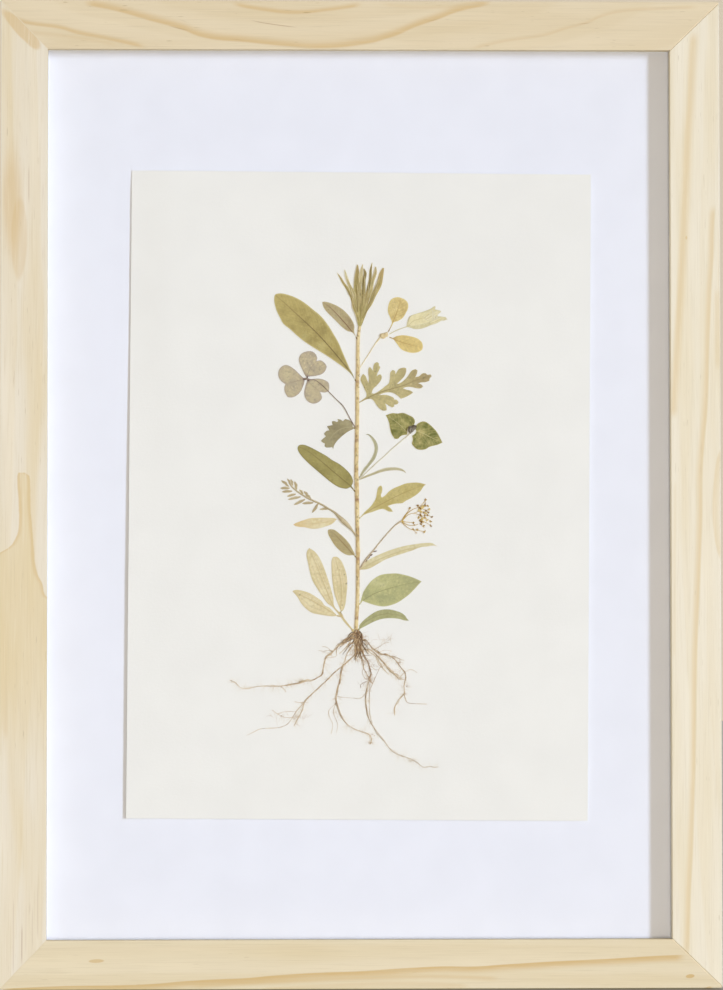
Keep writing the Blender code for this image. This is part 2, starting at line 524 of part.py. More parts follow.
leaf("narrow_leaf", "cream", [
    (360.7, 566.9), (365.3, 561.8), (372.2, 557.7), (380.8, 553.7), (389.4, 550.3),
    (400.9, 546.8), (412.4, 544.5), (423.9, 543.1), (431.3, 543.1), (434.2, 544.6),
    (437.4, 546.7), (433.1, 545.6), (426.8, 546.5), (419.9, 547.4), (412.4, 550.3),
    (403.8, 553.1), (395.2, 556), (386.6, 558.9), (378, 563.5), (371.1, 567.5),
    (365.3, 569.5), (360.9, 569.5)])

leaf("broad_leaf", "light", [
    (359.5, 603.6), (361.2, 597.5), (363.1, 591.8), (367, 585.6), (371.7, 580.3),
    (378, 576), (383.7, 574.1), (389.4, 573.6), (396.1, 573.4), (402.8, 574.6),
    (409, 576.2), (414.8, 578.4), (421.3, 581.4), (418.6, 584.1), (414.3, 588.9),
    (409, 594.2), (402.8, 599), (396.6, 602.8), (390.4, 605.2), (383.7, 606.4),
    (378, 605.9), (371.3, 604.2), (366.5, 602.5), (362.2, 600.9), (360.3, 603.8)])

leaf("crescent_leaf", "light", [
    (358.8, 629.1), (359.1, 625.3), (363.6, 620), (370.3, 614.7), (377, 610.9),
    (383.7, 609.4), (389.4, 609.4), (395.7, 610.9), (400.9, 612.8), (404.7, 615.7),
    (406.6, 618.6), (408.6, 620.6), (404.3, 620.4), (399.5, 619), (393.3, 618.2),
    (386.1, 618.2), (378.9, 619.5), (371.7, 622.4), (364.6, 626.2)])

leaf("pale_sprig_middle", "cream", [
    (351.2, 629.9), (344.8, 623.1), (339.1, 615.4), (332.2, 607), (327.1, 603.2),
    (322, 596.1), (316.9, 588.5), (312.4, 580.8), (309.9, 573.2), (308, 564.2),
    (306.4, 556.6), (306.7, 551.5), (308.9, 548), (314.3, 551.5), (318.8, 557.2),
    (322, 563.6), (325.2, 571.9), (328.4, 581.5), (330.9, 589.8), (332.8, 597.4),
    (334.1, 606.3), (340.7, 614), (346.4, 621.6), (352.2, 629)])
leaf("pale_sprig_right", "cream", [
    (340.6, 611.8), (343.1, 609.6), (345, 603.8), (346.2, 594.2), (346.9, 584.7),
    (346.2, 575.1), (343.7, 566.8), (340.5, 560.4), (336.7, 556.9), (332.8, 556.9),
    (331.3, 560.4), (331.3, 568.7), (331.7, 577), (332.6, 584.7), (333.7, 592.3),
    (335.8, 599.3), (338.4, 606)])
leaf("pale_sprig_left", "cream", [
    (336.8, 615.6), (332.2, 616.2), (325.8, 615.5), (318.8, 614.3), (311.8, 612.7),
    (306.1, 608.9), (300.9, 603.2), (297.1, 596.8), (292, 591), (295.8, 589.8),
    (302.2, 590.7), (309.2, 593), (315.6, 596.8), (321.4, 601.2), (324.4, 605.4),
    (329, 607.6), (332, 610.4)])

leaf("root_crown", "root", [
    (353.4, 631.8), (356.4, 631.2), (360.3, 631.2), (361.8, 634.2), (360.7, 637.3),
    (362.2, 639.6), (362.6, 643.4), (363.3, 648.8), (362.6, 652.6), (359.5, 654.5),
    (356.4, 653.4), (355.3, 648.8), (354.5, 645), (351.1, 643.4), (348.8, 642.2),
    (346.5, 640.4), (348.8, 637.3), (351.9, 634.2)], thickness=0.0011)
stalk("root_left", "root", [
    (344.9, 641.8, 1.2), (341, 644.2, 1.3), (336, 648.4, 1.2), (329.7, 653.8, 1.3),
    (325.4, 658.5, 1.1), (323.4, 665, 0.9), (322.2, 673.8, 0.8), (317, 677.5, 0.7),
    (311.7, 679.9, 0.7), (305, 680.4, 1.2), (300.5, 681.8, 1.1), (290.2, 683.9, 0.7),
    (280, 685.6, 0.7), (264, 686, 0.45), (247.5, 688.5, 0.4), (238.7, 685.9, 0.4),
    (235.5, 682.3, 0.4), (229.6, 679.5, 0.35)])
stalk("root_lower_left", "root", [
    (354.2, 655.8, 0.8), (351.1, 657.8, 0.8), (346.5, 661.8, 0.8), (343.4, 664.3, 1.1),
    (337.3, 669.5, 0.8), (329.7, 676.7, 0.9), (318.1, 687.8, 0.8), (310, 696, 0.8),
    (303.7, 702.2, 0.9), (302.1, 709.4, 0.8), (297.4, 716, 0.7), (291, 721.5, 0.5),
    (283, 725.8, 0.4), (275.8, 727.3, 0.4), (259.9, 728.5, 0.35), (247.1, 734.9, 0.3)])
stalk("root_hanging", "root", [
    (341.8, 670.2, 0.8), (340.9, 674, 0.9), (340.2, 678.5, 1.1), (339.1, 684, 1.2),
    (336.8, 691, 1.2), (335.9, 699.6, 1.1), (337.5, 706.6, 0.9), (341.1, 715.5, 0.7),
    (347.4, 724.4, 0.6), (355.1, 728.9, 0.5), (363.4, 731.5, 0.6), (369.1, 734.6, 0.8),
    (371, 739.1, 0.8), (369.8, 743.4, 0.6)])
stalk("root_central", "root", [
    (362.8, 656.6, 0.8), (365, 660, 0.8), (367.5, 664, 0.7), (369.5, 668.5, 0.7),
    (370.4, 674, 0.8), (368.9, 678.8, 1.4), (371.6, 682.4, 0.6)])
stalk("root_long", "root", [
    (367.4, 682.8, 0.7), (366, 690, 0.8), (365.6, 698.3, 0.8), (366, 708, 0.8),
    (367.8, 716, 0.8), (371, 723, 0.7), (376.1, 730.8, 0.6), (383.8, 741, 0.6),
    (390.2, 749.1, 0.6), (400.5, 755.4, 0.5), (408.2, 757.6, 0.5), (416, 762.3, 0.4),
    (422.9, 766.4, 0.35), (428.9, 765.9, 0.35), (434.1, 767, 0.35), (438.4, 766.2, 0.3)])
stalk("root_right", "root", [
    (365.4, 649.8, 0.6), (371, 653, 0.8), (376, 656.4, 1.0), (381.4, 661, 1.0),
    (386, 667, 1.2), (390.5, 671.8, 1.5), (396, 676.2, 1.5), (401.2, 679, 0.6)])
stalk("root_far_right", "root", [
    (364.0, 639.2, 0.4), (366.4, 640.4, 0.5), (369.5, 645, 0.6), (373, 648.6, 0.8),
    (377.5, 651.9, 1.1), (384, 654.4, 1.1), (390.9, 656.6, 1.0), (395.7, 661, 0.6),
    (400.5, 667, 0.6), (404.3, 672.8, 0.8), (405.2, 677.6, 0.9), (404.3, 682, 0.7),
    (403.7, 688, 0.6), (403, 693.6, 0.7), (398, 700.3, 0.7), (394.4, 708, 0.8),
    (394.5, 714.9, 0.6)])

for obj in parts.objects:
    if obj.type == "MESH":
        obj.data.shade_flat()
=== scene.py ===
"""Pressed flower frame, dressed: fine leaves, stalks and roots on cotton paper, behind
glass in a pine frame. Plant pieces are laid out in photo pixels, like the CAD part."""
import math
import random

import bmesh
import bpy
import numpy as np
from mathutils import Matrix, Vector, noise
from mathutils.geometry import delaunay_2d_cdt


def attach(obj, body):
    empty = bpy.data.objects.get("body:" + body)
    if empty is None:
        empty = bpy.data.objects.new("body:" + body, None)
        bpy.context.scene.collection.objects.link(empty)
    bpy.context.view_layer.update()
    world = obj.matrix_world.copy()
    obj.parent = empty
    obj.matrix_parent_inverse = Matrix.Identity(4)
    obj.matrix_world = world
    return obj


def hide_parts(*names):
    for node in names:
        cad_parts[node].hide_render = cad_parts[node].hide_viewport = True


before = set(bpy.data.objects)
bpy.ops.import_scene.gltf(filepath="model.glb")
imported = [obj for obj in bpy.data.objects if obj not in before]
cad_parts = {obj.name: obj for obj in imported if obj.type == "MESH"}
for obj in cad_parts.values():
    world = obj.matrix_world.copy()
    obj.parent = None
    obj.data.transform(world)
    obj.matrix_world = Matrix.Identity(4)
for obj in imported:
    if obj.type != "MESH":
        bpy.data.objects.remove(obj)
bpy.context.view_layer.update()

PIXEL = 0.4573              # mm on the sheet for one pixel of the photo
MIDDLE = (358.7, 493.6)     # the photo pixel at the middle of the opening
OPEN_X, OPEN_Z = -0.85, -0.10   # middle of the opening, mm
SHEET_FRONT = -1.6          # y of the sheet's front, mm
ABOVE = 0.02                # how far stalks and buds start above the sheet, mm
RAIL_PIXEL = 0.000453       # m on the front of the rails for one pixel, about
LEVEL = 1.02                # how bright a perfectly white surface is in the picture
OWN = 9.0                   # added to a leaf's own tone, which the vein field keeps
FIELDS = ("along", "side", "edge", "rib", "vein")


# Small helpers for places and lines, all in mm

def at(points):
    """Photo pixels to X and Z on the sheet, as an array."""
    p = np.array([q[:2] for q in points], float)
    return np.column_stack([OPEN_X + (p[:, 0] - MIDDLE[0]) * PIXEL,
                            OPEN_Z + (MIDDLE[1] - p[:, 1]) * PIXEL])


def spline(points, step, closed=False, corner=52.0):
    """Resample a line smoothly through its points, keeping the hard corners."""
    p = np.asarray(points, float)
    n = len(p)
    before = np.roll(p, 1, 0) if closed else np.vstack([p[:1] * 2 - p[1:2], p[:-1]])
    after = np.roll(p, -1, 0) if closed else np.vstack([p[1:], p[-1:] * 2 - p[-2:-1]])
    a, b = (p - before)[:, :2], (after - p)[:, :2]
    turn = np.degrees(np.abs(np.arctan2(a[:, 0] * b[:, 1] - a[:, 1] * b[:, 0], (a * b).sum(1))))
    hard = turn > corner
    out = []
    for i in range(n if closed else n - 1):
        j = (i + 1) % n
        chord = p[j] - p[i]
        long = max(np.linalg.norm(chord[:2]), 1e-6)
        tangents = []
        for k in (i, j):
            way = after[k] - before[k]
            size = max(np.linalg.norm(way[:2]), 1e-6)
            tangents.append(chord if hard[k] else way / size * long)
        count = max(1, int(round(long / step)))
        for t in np.arange(count) / count:
            h = (2 * t**3 - 3 * t**2 + 1, t**3 - 2 * t**2 + t, 3 * t**2 - 2 * t**3, t**3 - t**2)
            out.append(h[0] * p[i] + h[1] * tangents[0] + h[2] * p[j] + h[3] * tangents[1])
    if not closed:
        out.append(p[-1])
    return np.array(out)


def nearest(points, line, closed=False):
    """Distance to a line, how far along it that is, and on which side of it."""
    a = np.asarray(line, float)[:, :2]
    b = np.roll(a, -1, 0) if closed else a[1:]
    a = a if closed else a[:-1]
    d = b - a
    long = np.maximum(np.hypot(d[:, 0], d[:, 1]), 1e-9)
    start = np.concatenate([[0], np.cumsum(long)[:-1]])
    rel = points[:, None, :] - a[None]
    t = np.clip((rel * d).sum(2) / long**2, 0, 1)
    gap = rel - t[..., None] * d
    dist = np.hypot(gap[..., 0], gap[..., 1])
    k = dist.argmin(1)
    row = np.arange(len(points))
    cross = d[k, 0] * rel[row, k, 1] - d[k, 1] * rel[row, k, 0]
    return dist[row, k], start[k] + t[row, k] * long[k], np.sign(cross), start[-1] + long[-1]


def inside(points, ring):
    """Which points lie inside a closed outline."""
    x, z = points[:, 0][:, None], points[:, 1][:, None]
    a, b = ring, np.roll(ring, -1, 0)
    spans = (a[:, 1] > z) != (b[:, 1] > z)
    rise = np.where(b[:, 1] == a[:, 1], 1e-12, b[:, 1] - a[:, 1])
    crosses = x < (b[:, 0] - a[:, 0]) * (z - a[:, 1]) / rise + a[:, 0]
    return (spans & crosses).sum(1) % 2 == 1


def wander(points, size, seed):
    """Smooth noise from -1 to 1 at each point, with bumps of about this size in mm."""
    return np.array([noise.noise(Vector((x / size + seed, z / size - seed, seed)))
                     for x, z in points])


def ease(value, low, high):
    """Smoothly from 0 to 1 as the value goes from low to high."""
    t = np.clip((value - low) / (high - low), 0, 1)
    return t * t * (3 - 2 * t)


def cad_outline(node):
    """The outline of a flat CAD piece in mm, read from the edge of its front faces."""
    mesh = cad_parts[node].data
    place = {v.index: (round(v.co.x * 1e6), round(v.co.z * 1e6)) for v in mesh.vertices}
    sides = set()
    for face in mesh.polygons:
        if face.normal.y < -0.9:
            keys = [place[i] for i in face.vertices]
            sides |= set(zip(keys, keys[1:] + keys[:1]))
    after = {a: b for a, b in sides if (b, a) not in sides}
    ring = [next(iter(sorted(after)))]
    while after[ring[-1]] != ring[0]:
        ring.append(after[ring[-1]])
    return np.array(ring) / 1000.0


class Shape:
    """Collects closed bits of surface and makes one mesh object of them."""

    def __init__(self):
        self.points, self.faces = [], []
        self.values = {name: [] for name in FIELDS}

    def add(self, points, faces, **values):
        points = np.asarray(points, float)
        volume = 0.0
        for f in faces:
            for i in range(1, len(f) - 1):
                volume += np.dot(points[f[0]], np.cross(points[f[i]], points[f[i + 1]]))
        if volume < 0:
            faces = [tuple(reversed(f)) for f in faces]
        base = len(self.points)
        self.points += points.tolist()
        self.faces += [tuple(base + i for i in f) for f in faces]
        for name in FIELDS:
            given = values.get(name, 0.0)
            self.values[name] += list(np.broadcast_to(given, (len(points),)))

    def finish(self, name, look, slot, *nodes, sharp=50.0):
        mesh = bpy.data.meshes.new(name)
        mesh.from_pydata([[c * 0.001 for c in p] for p in self.points], [], self.faces)
        for field in FIELDS:
            layer = mesh.attributes.new(field, "FLOAT", "POINT")
            layer.data.foreach_set("value", np.array(self.values[field], np.float32))
        mesh.materials.append(look)
        mesh.shade_smooth()
        mesh.set_sharp_from_angle(angle=math.radians(sharp))
        obj = bpy.data.objects.new(name, mesh)
        bpy.context.scene.collection.objects.link(obj)
        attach(obj, "root")
        if nodes:
            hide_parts(*nodes)


# Leaves

def side_veins(midrib, ring, gap, lean, bend=0.5, first=0.1, last=0.93):
    """Side veins on both sides of a midrib, each running out to just short of the edge."""
    line = spline(midrib, 0.3)
    long = np.concatenate([[0], np.cumsum(np.hypot(*np.diff(line, axis=0).T))])
    veins = []
    place = first * long[-1]
    odd = 1
    while place < last * long[-1]:
        k = min(int(np.searchsorted(long, place)), len(line) - 2)
        ahead = math.atan2(*(line[k + 1] - line[k])[::-1])
        for side in (1, -1):
            here, turn, path = line[k].copy(), math.radians(lean), []
            for _ in range(90):
                path.append(here.copy())
                way = ahead + side * turn
                here = here + 0.3 * np.array([math.cos(way), math.sin(way)])
                turn *= 1 - 0.03 * bend
                if not inside(here[None], ring)[0]:
                    break
            if len(path) > 3:
                veins.append(np.array(path[:-1]))
        place += gap * (1 + 0.18 * math.sin(2.4 * odd))
        odd += 1
    return veins


def leaf(shape, ring, midrib, veins=(), step=0.45, cup=0.08, wave=0.05, ridge=0.07, lift=0.0,
         thick=0.13, crumple=0.03, tone=0.5, seed=0.0):
    """A pressed leaf from its outline: a fine mesh with raised veins and a thin, wavy edge."""
    rng = random.Random(int(seed * 10) + 7)
    rim = spline(ring, step * 0.75, closed=True)
    low, high = rim.min(0), rim.max(0)
    rows = []
    z, odd = low[1], 0
    while z < high[1]:
        x = low[0] + (step / 2 if odd else 0)
        while x < high[0]:
            rows.append((x + rng.uniform(-.12, .12) * step, z + rng.uniform(-.12, .12) * step))
            x += step
        z, odd = z + step * 0.87, not odd
    lines = [spline(midrib, step * 0.8)] + [spline(v, step * 0.8) for v in veins]
    fixed, edges = [tuple(p) for p in rim], [(i, (i + 1) % len(rim)) for i in range(len(rim))]
    for line in lines:
        good = inside(line, rim) & (nearest(line, rim, True)[0] > 0.45 * step)
        last = None
        for p, ok in zip(line, good):
            if ok:
                fixed.append(tuple(p))
                if last is not None:
                    edges.append((last, len(fixed) - 1))
                last = len(fixed) - 1
            else:
                last = None
    grid = np.array(rows)
    grid = grid[inside(grid, rim)]
    if len(grid):
        grid = grid[nearest(grid, rim, True)[0] > 0.55 * step]
        for line in lines:
            if len(grid):
                grid = grid[nearest(grid, line)[0] > 0.45 * step]
        fixed += [tuple(p) for p in grid]
    flat, _, faces, *_ = delaunay_2d_cdt([Vector(p) for p in fixed], edges, [], 0, 1e-5)
    p = np.array([tuple(v) for v in flat])
    faces = [tuple(f) for f in faces]
    centres = np.array([p[list(f)].mean(0) for f in faces])
    faces = [f for f, ok in zip(faces, inside(centres, rim)) if ok]
    used = sorted({i for f in faces for i in f})
    number = {old: new for new, old in enumerate(used)}
    p = p[used]
    faces = [tuple(number[i] for i in f) for f in faces]

    edge = nearest(p, rim, True)[0]
    rib, along, hand, whole = nearest(p, lines[0])
    along = along / max(whole, 1e-6)
    side = hand * rib / np.maximum(rib + edge, 1e-6)
    vein = np.full(len(p), OWN + tone)
    for line in lines[1:]:
        vein = np.minimum(vein, nearest(p, line)[0])
    half = thick * (0.22 + 0.28 * ease(edge, 0.0, 0.7))
    middle = (half + 0.01 + lift + cup * side**2 * ease(rib, 0.0, 2.5)
              + wave * (0.5 + 0.5 * wander(p, 4.5, seed)) * (0.25 + 0.75 * side**2))
    relief = (ridge * np.exp(-(rib / 0.24)**2) * (1.15 - 0.8 * along)
              + 0.14 * ridge * np.exp(-(vein / 0.17)**2)
              + crumple * wander(p, 1.1, seed + 5) * ease(edge, 0.0, 0.5))
    front = SHEET_FRONT - (middle + half + relief)
    back = SHEET_FRONT - np.maximum(middle - half, 0.015)
    n = len(p)
    points = np.vstack([np.column_stack([p[:, 0], front, p[:, 1]]),
                        np.column_stack([p[:, 0], back, p[:, 1]])])
    sides = {(a, b) for f in faces for a, b in zip(f, f[1:] + f[:1])}
    walls = [(b, a, a + n, b + n) for a, b in sides if (b, a) not in sides]
    closed = faces + [tuple(i + n for i in reversed(f)) for f in faces] + walls
    fields = dict(along=along, side=side, edge=edge, rib=rib, vein=vein)
    shape.add(points, closed, **{name: np.concatenate([v, v]) for name, v in fields.items()})


def ribbon(path):
    """The outline and middle line in mm of a narrow leaf, from (x, y, half width) in pixels."""
    line = np.column_stack([at(path), [q[2] * PIXEL for q in path]])
    way = np.gradient(line[:, :2], axis=0)
    way /= np.maximum(np.hypot(*way.T), 1e-9)[:, None]
    out = np.column_stack([-way[:, 1], way[:, 0]]) * line[:, 2:]
    return np.vstack([line[:, :2] + out, (line[:, :2] - out)[::-1]]), line[:, :2]


# Stalks, roots and buds

def tube(shape, path, lift=0.0, flat=0.6, sides=9, step=0.4, rough=0.12, wobble=0.0, grooves=0,
         seed=0.0, fields=None, tone=0.5):
    """A stalk or root through (x, y, half width) in pixels, lying on the sheet. Tone is from
    dark to light."""
    line = np.column_stack([at(path), [q[2] * PIXEL for q in path]])
    line = spline(line, step, corner=80)
    way = np.gradient(line[:, :2], axis=0)
    way /= np.maximum(np.hypot(*way.T), 1e-9)[:, None]
    across = np.column_stack([-way[:, 1], way[:, 0]])
    long = np.concatenate([[0], np.cumsum(np.hypot(*np.diff(line[:, :2], axis=0).T))])
    points, side, along = [], [], []
    for k, ((x, z, r), out) in enumerate(zip(line, across)):
        sway = wobble * noise.noise(Vector((long[k] / 5.0, seed, 0.3)))
        for i in range(sides):
            a = 2 * math.pi * i / sides
            c, s = math.cos(a), math.sin(a)
            lump = 1 + rough * noise.noise(Vector((long[k] / 0.8 + seed, c * 1.3, s * 1.3)))
            if grooves:
                lump *= 1 - 0.06 * math.cos(grooves * a)
            u, v = c * r * lump + sway, s * r * lump * flat
            points.append((x + out[0] * u, SHEET_FRONT - ABOVE - lift - r * flat - v, z + out[1] * u))
            side.append(c)
            along.append(long[k] / max(long[-1], 1e-6))
    faces = []
    for k in range(len(line) - 1):
        for i in range(sides):
            j = (i + 1) % sides
            a, b = k * sides, (k + 1) * sides
            faces.append((a + i, a + j, b + j, b + i))
    for k in (0, len(line) - 1):
        ids = list(range(k * sides, (k + 1) * sides))
        points.append(tuple(np.mean([points[i] for i in ids], axis=0)))
        side.append(0.0)
        along.append(along[ids[0]])
        tip = len(points) - 1
        for i in range(sides):
            pair = (ids[i], ids[(i + 1) % sides])
            faces.append((tip, *pair) if k else (tip, *reversed(pair)))
    reach = np.concatenate([np.repeat(long, sides), [0.0, long[-1]]])
    shape.add(points, faces, **(fields or dict(along=along, side=side, edge=tone, rib=1.0, vein=reach)))


def bud(shape, x, y, long, wide, turn, lift=0.1, lobes=5, deep=0.15, tall=0.6, tone=0.5,
        seed=0.0, fine=3):
    """A lumpy bud or knot: half lengths and heading in pixels and degrees."""
    bm = bmesh.new()
    bmesh.ops.create_icosphere(bm, subdivisions=fine, radius=1.0)
    (cx, cz), = at([(x, y)])
    c, s = math.cos(math.radians(turn)), math.sin(math.radians(turn))
    half = wide * PIXEL * tall
    points, side, along = [], [], []
    for v in bm.verts:
        a = math.atan2(v.co.y, v.co.z)
        pinch = 1 - 0.35 * max(v.co.x, 0.0) ** 2
        lump = (1 + deep * math.cos(lobes * a) * (1 - v.co.x**2)
                + 0.16 * noise.noise(v.co * 1.9 + Vector((seed,) * 3)))
        u, w = v.co.x * long * PIXEL * lump, v.co.z * wide * PIXEL * lump * pinch
        points.append((cx + c * u - s * w, SHEET_FRONT - ABOVE - lift - half * (1 + v.co.y * lump * 0.98),
                       cz + s * u + c * w))
        side.append(v.co.z)
        along.append(0.5 + 0.5 * v.co.x)
    faces = [tuple(v.index for v in f.verts) for f in bm.faces]
    bm.free()
    shape.add(points, faces, along=along, side=side, edge=0.5, rib=tone, vein=seed)


def wisps(shape, starts, seed, length=(1.0, 3.0), radius=0.055, spread=70, lift=0.05, tone=0.5):
    """Fine rootlets or hairs from (x, y, heading in degrees) in pixels, y down."""
    rng = random.Random(seed)
    for x, y, heading in starts:
        way = heading + rng.uniform(-spread, spread)
        reach = rng.uniform(*length) / PIXEL
        path, bend = [], rng.uniform(-14, 14)
        for i in range(5):
            path.append((x, y, radius / PIXEL * (1 - 0.16 * i)))
            x += math.cos(math.radians(way)) * reach / 4
            y += math.sin(math.radians(way)) * reach / 4
            way += bend + rng.uniform(-16, 16)
        tube(shape, path, lift=lift + rng.uniform(0, 0.15), flat=0.8, sides=5, step=0.5, rough=0.1,
             seed=rng.random() * 9, tone=tone)


# Materials

def rgb(tone, scale=1.0, top=255):
    """A tone from 0 to 255, darker or lighter by scale, as a linear surface colour."""
    return tuple(((min(c * scale, top) / 255 + 0.055) / 1.055) ** 2.4 / LEVEL for c in tone)


class Look:
    """One Principled material, with a short method for each kind of node that it uses."""

    def __init__(self, name, roughness=0.7, specular=0.3, metallic=0.0):
        self.mat = bpy.data.materials.new(name)
        self.mat.use_nodes = True
        self.tree = self.mat.node_tree
        self.shader = self.tree.nodes["Principled BSDF"]
        self.place = self.tree.nodes.new("ShaderNodeTexCoord").outputs["Object"]
        self.colour = None
        for socket, value in (("Roughness", roughness), ("Specular IOR Level", specular),
                              ("Metallic", metallic)):
            self.shader.inputs[socket].default_value = value

    def put(self, socket, value):
        if isinstance(value, bpy.types.NodeSocket):
            self.tree.links.new(value, socket)
        elif isinstance(value, tuple) and len(value) == 3 and socket.type == "RGBA":
            socket.default_value = (*value, 1.0)
        else:
            socket.default_value = value

    def node(self, kind, **settings):
        made = self.tree.nodes.new("ShaderNode" + kind)
        for key, value in settings.items():
            setattr(made, key, value)
        return made

    def sum(self, operation, a, b=0.0):
        made = self.node("Math", operation=operation)
        self.put(made.inputs[0], a)
        self.put(made.inputs[1], b)
        return made.outputs[0]

    def plus(self, a, b):
        return self.sum("ADD", a, b)

    def less(self, a, b):
        return self.sum("SUBTRACT", a, b)

    def times(self, a, b):
        return self.sum("MULTIPLY", a, b)

    def blend(self, a, part, b):
        """Two noises as one height, where part is the share of the first."""
        return self.plus(self.times(a, part), self.times(b, 1 - part))

    def field(self, name):
        return self.node("Attribute", attribute_name=name).outputs["Fac"]

    def axes(self):
        made = self.node("SeparateXYZ")
        self.put(made.inputs[0], self.place)
        return made.outputs

    def noise(self, size, detail=2.0, rough=0.5, stretch=(1, 1, 1), seed=0.0, warp=0.0):
        """Noise from 0 to 1 with bumps of this size in metres. Stretch makes an axis longer."""
        shift = self.node("Mapping")
        self.put(shift.inputs["Vector"], self.place)
        shift.inputs["Scale"].default_value = [1 / (size * s) for s in stretch]
        shift.inputs["Location"].default_value = (seed, seed * 1.7, -seed)
        made = self.node("TexNoise")
        self.put(made.inputs["Vector"], shift.outputs[0])
        for socket, value in (("Scale", 1.0), ("Detail", detail), ("Roughness", rough), ("Distortion", warp)):
            made.inputs[socket].default_value = value
        return made.outputs["Fac"]

    def step(self, value, low, high, out=(0.0, 1.0)):
        """Smoothly from one number to another as the value goes from low to high."""
        made = self.node("MapRange", interpolation_type="SMOOTHSTEP")
        self.put(made.inputs[0], value)
        for socket, number in zip((1, 2, 3, 4), (low, high, *out)):
            self.put(made.inputs[socket], number)
        return made.outputs[0]

    def mix(self, factor, a, b):
        made = self.node("Mix", data_type="RGBA")
        for socket, value in ((0, factor), (6, a), (7, b)):
            self.put(made.inputs[socket], value)
        return made.outputs[2]

    def paint(self, factor, tone, scale=1.0, top=255):
        """Lay a tone over the colour so far."""
        self.colour = self.mix(factor, self.colour, rgb(tone, scale, top))

    def bump(self, height, distance, strength=1.0):
        made = self.node("Bump")
        made.inputs["Strength"].default_value = strength
        made.inputs["Distance"].default_value = distance
        self.put(made.inputs["Height"], height)
        return made.outputs[0]

    def done(self, roughness=None, normal=None):
        self.put(self.shader.inputs["Base Color"], self.colour)
        if roughness is not None:
            self.put(self.shader.inputs["Roughness"], roughness)
        if normal is not None:
            self.put(self.shader.inputs["Normal"], normal)
        return self.mat


def leaf_look(name, dark, mid, light, rib=None, rib_width=0.17, veins=0.2, vein=None, rim=None,
              rim_width=0.5, tip=None, foot=None, half=None, stripes=0, blotch=7.0, specks=0.0, shades=None,
              mottle=1.6, reach=0.3, seed=1.0):
    """Dry leaf: blotches between three tones, veins, rim, tip and foot tints, fine mottling.
    Half tints one side of the midrib, stripes run along it, and shades are the darkest and
    lightest tone of leaves that keep a tone of their own."""
    look = Look(name, 0.72, 0.25)
    along, side = look.field("along"), look.field("side")
    big = look.noise(blotch * 0.001, 3.0, 0.55, seed=seed)
    look.colour = look.mix(look.step(big, 0.30, 0.54), rgb(dark), rgb(mid))
    look.paint(look.step(big, 0.50, 0.76), light)
    if half:
        look.paint(look.step(side, -0.25, 0.25, (0.0, 0.55)), half)
    if tip:
        patchy = look.plus(along, look.times(big, 0.4))
        look.paint(look.step(patchy, 0.75, 1.2, (0.0, 0.8)), tip)
    if stripes:
        wave = look.sum("SINE", look.times(side, stripes * math.pi))
        look.paint(look.step(wave, -0.6, 0.9, (0.0, 0.22)), mid, 0.82)
    if shades:
        own = look.field("vein")
        look.paint(look.step(own, OWN + 0.45, OWN, (0.0, 0.8)), shades[0])
        look.paint(look.step(own, OWN + 0.55, OWN + 1.0, (0.0, 0.8)), shades[1])
    cells = look.noise(0.0011, 2.0, 0.6, seed=seed + 3)
    look.paint(look.step(cells, 0.46, 0.30, (0.0, 0.30 * mottle)), dark, 0.88)
    look.paint(look.step(cells, 0.54, 0.70, (0.0, 0.25 * mottle)), light, 1.08, 245)
    line = look.step(look.field("vein"), 0.06, 0.34, (veins, 0.0))
    if vein:
        look.paint(line, vein)
    else:
        look.paint(line, dark, 0.84)
    if rib:
        fade = look.step(along, 1.10, 0.40, (0.25, 0.95))
        line = look.step(look.field("rib"), rib_width * 0.5, rib_width * 1.6, (1.0, 0.0))
        look.paint(look.times(line, fade), rib)
    if rim:
        look.paint(look.step(look.field("edge"), rim_width, 0.0, (0.0, 0.85)), rim)
    if foot:
        look.paint(look.step(along, reach, 0.0, (0.0, 0.8)), foot)
    if specks:
        spots = look.noise(0.0016, 1.0, 0.4, seed=seed + 8)
        look.paint(look.step(spots, 0.76 - 0.1 * specks, 0.80 - 0.1 * specks, (0.0, 0.75)), dark, 0.6)
    grain = look.noise(0.0003, 2.0, 0.6, seed=seed + 11)
    rough = look.step(cells, 0.2, 0.8, (0.58, 0.85))
    return look.done(rough, look.bump(look.blend(cells, 0.7, grain), 0.00012, 0.55))


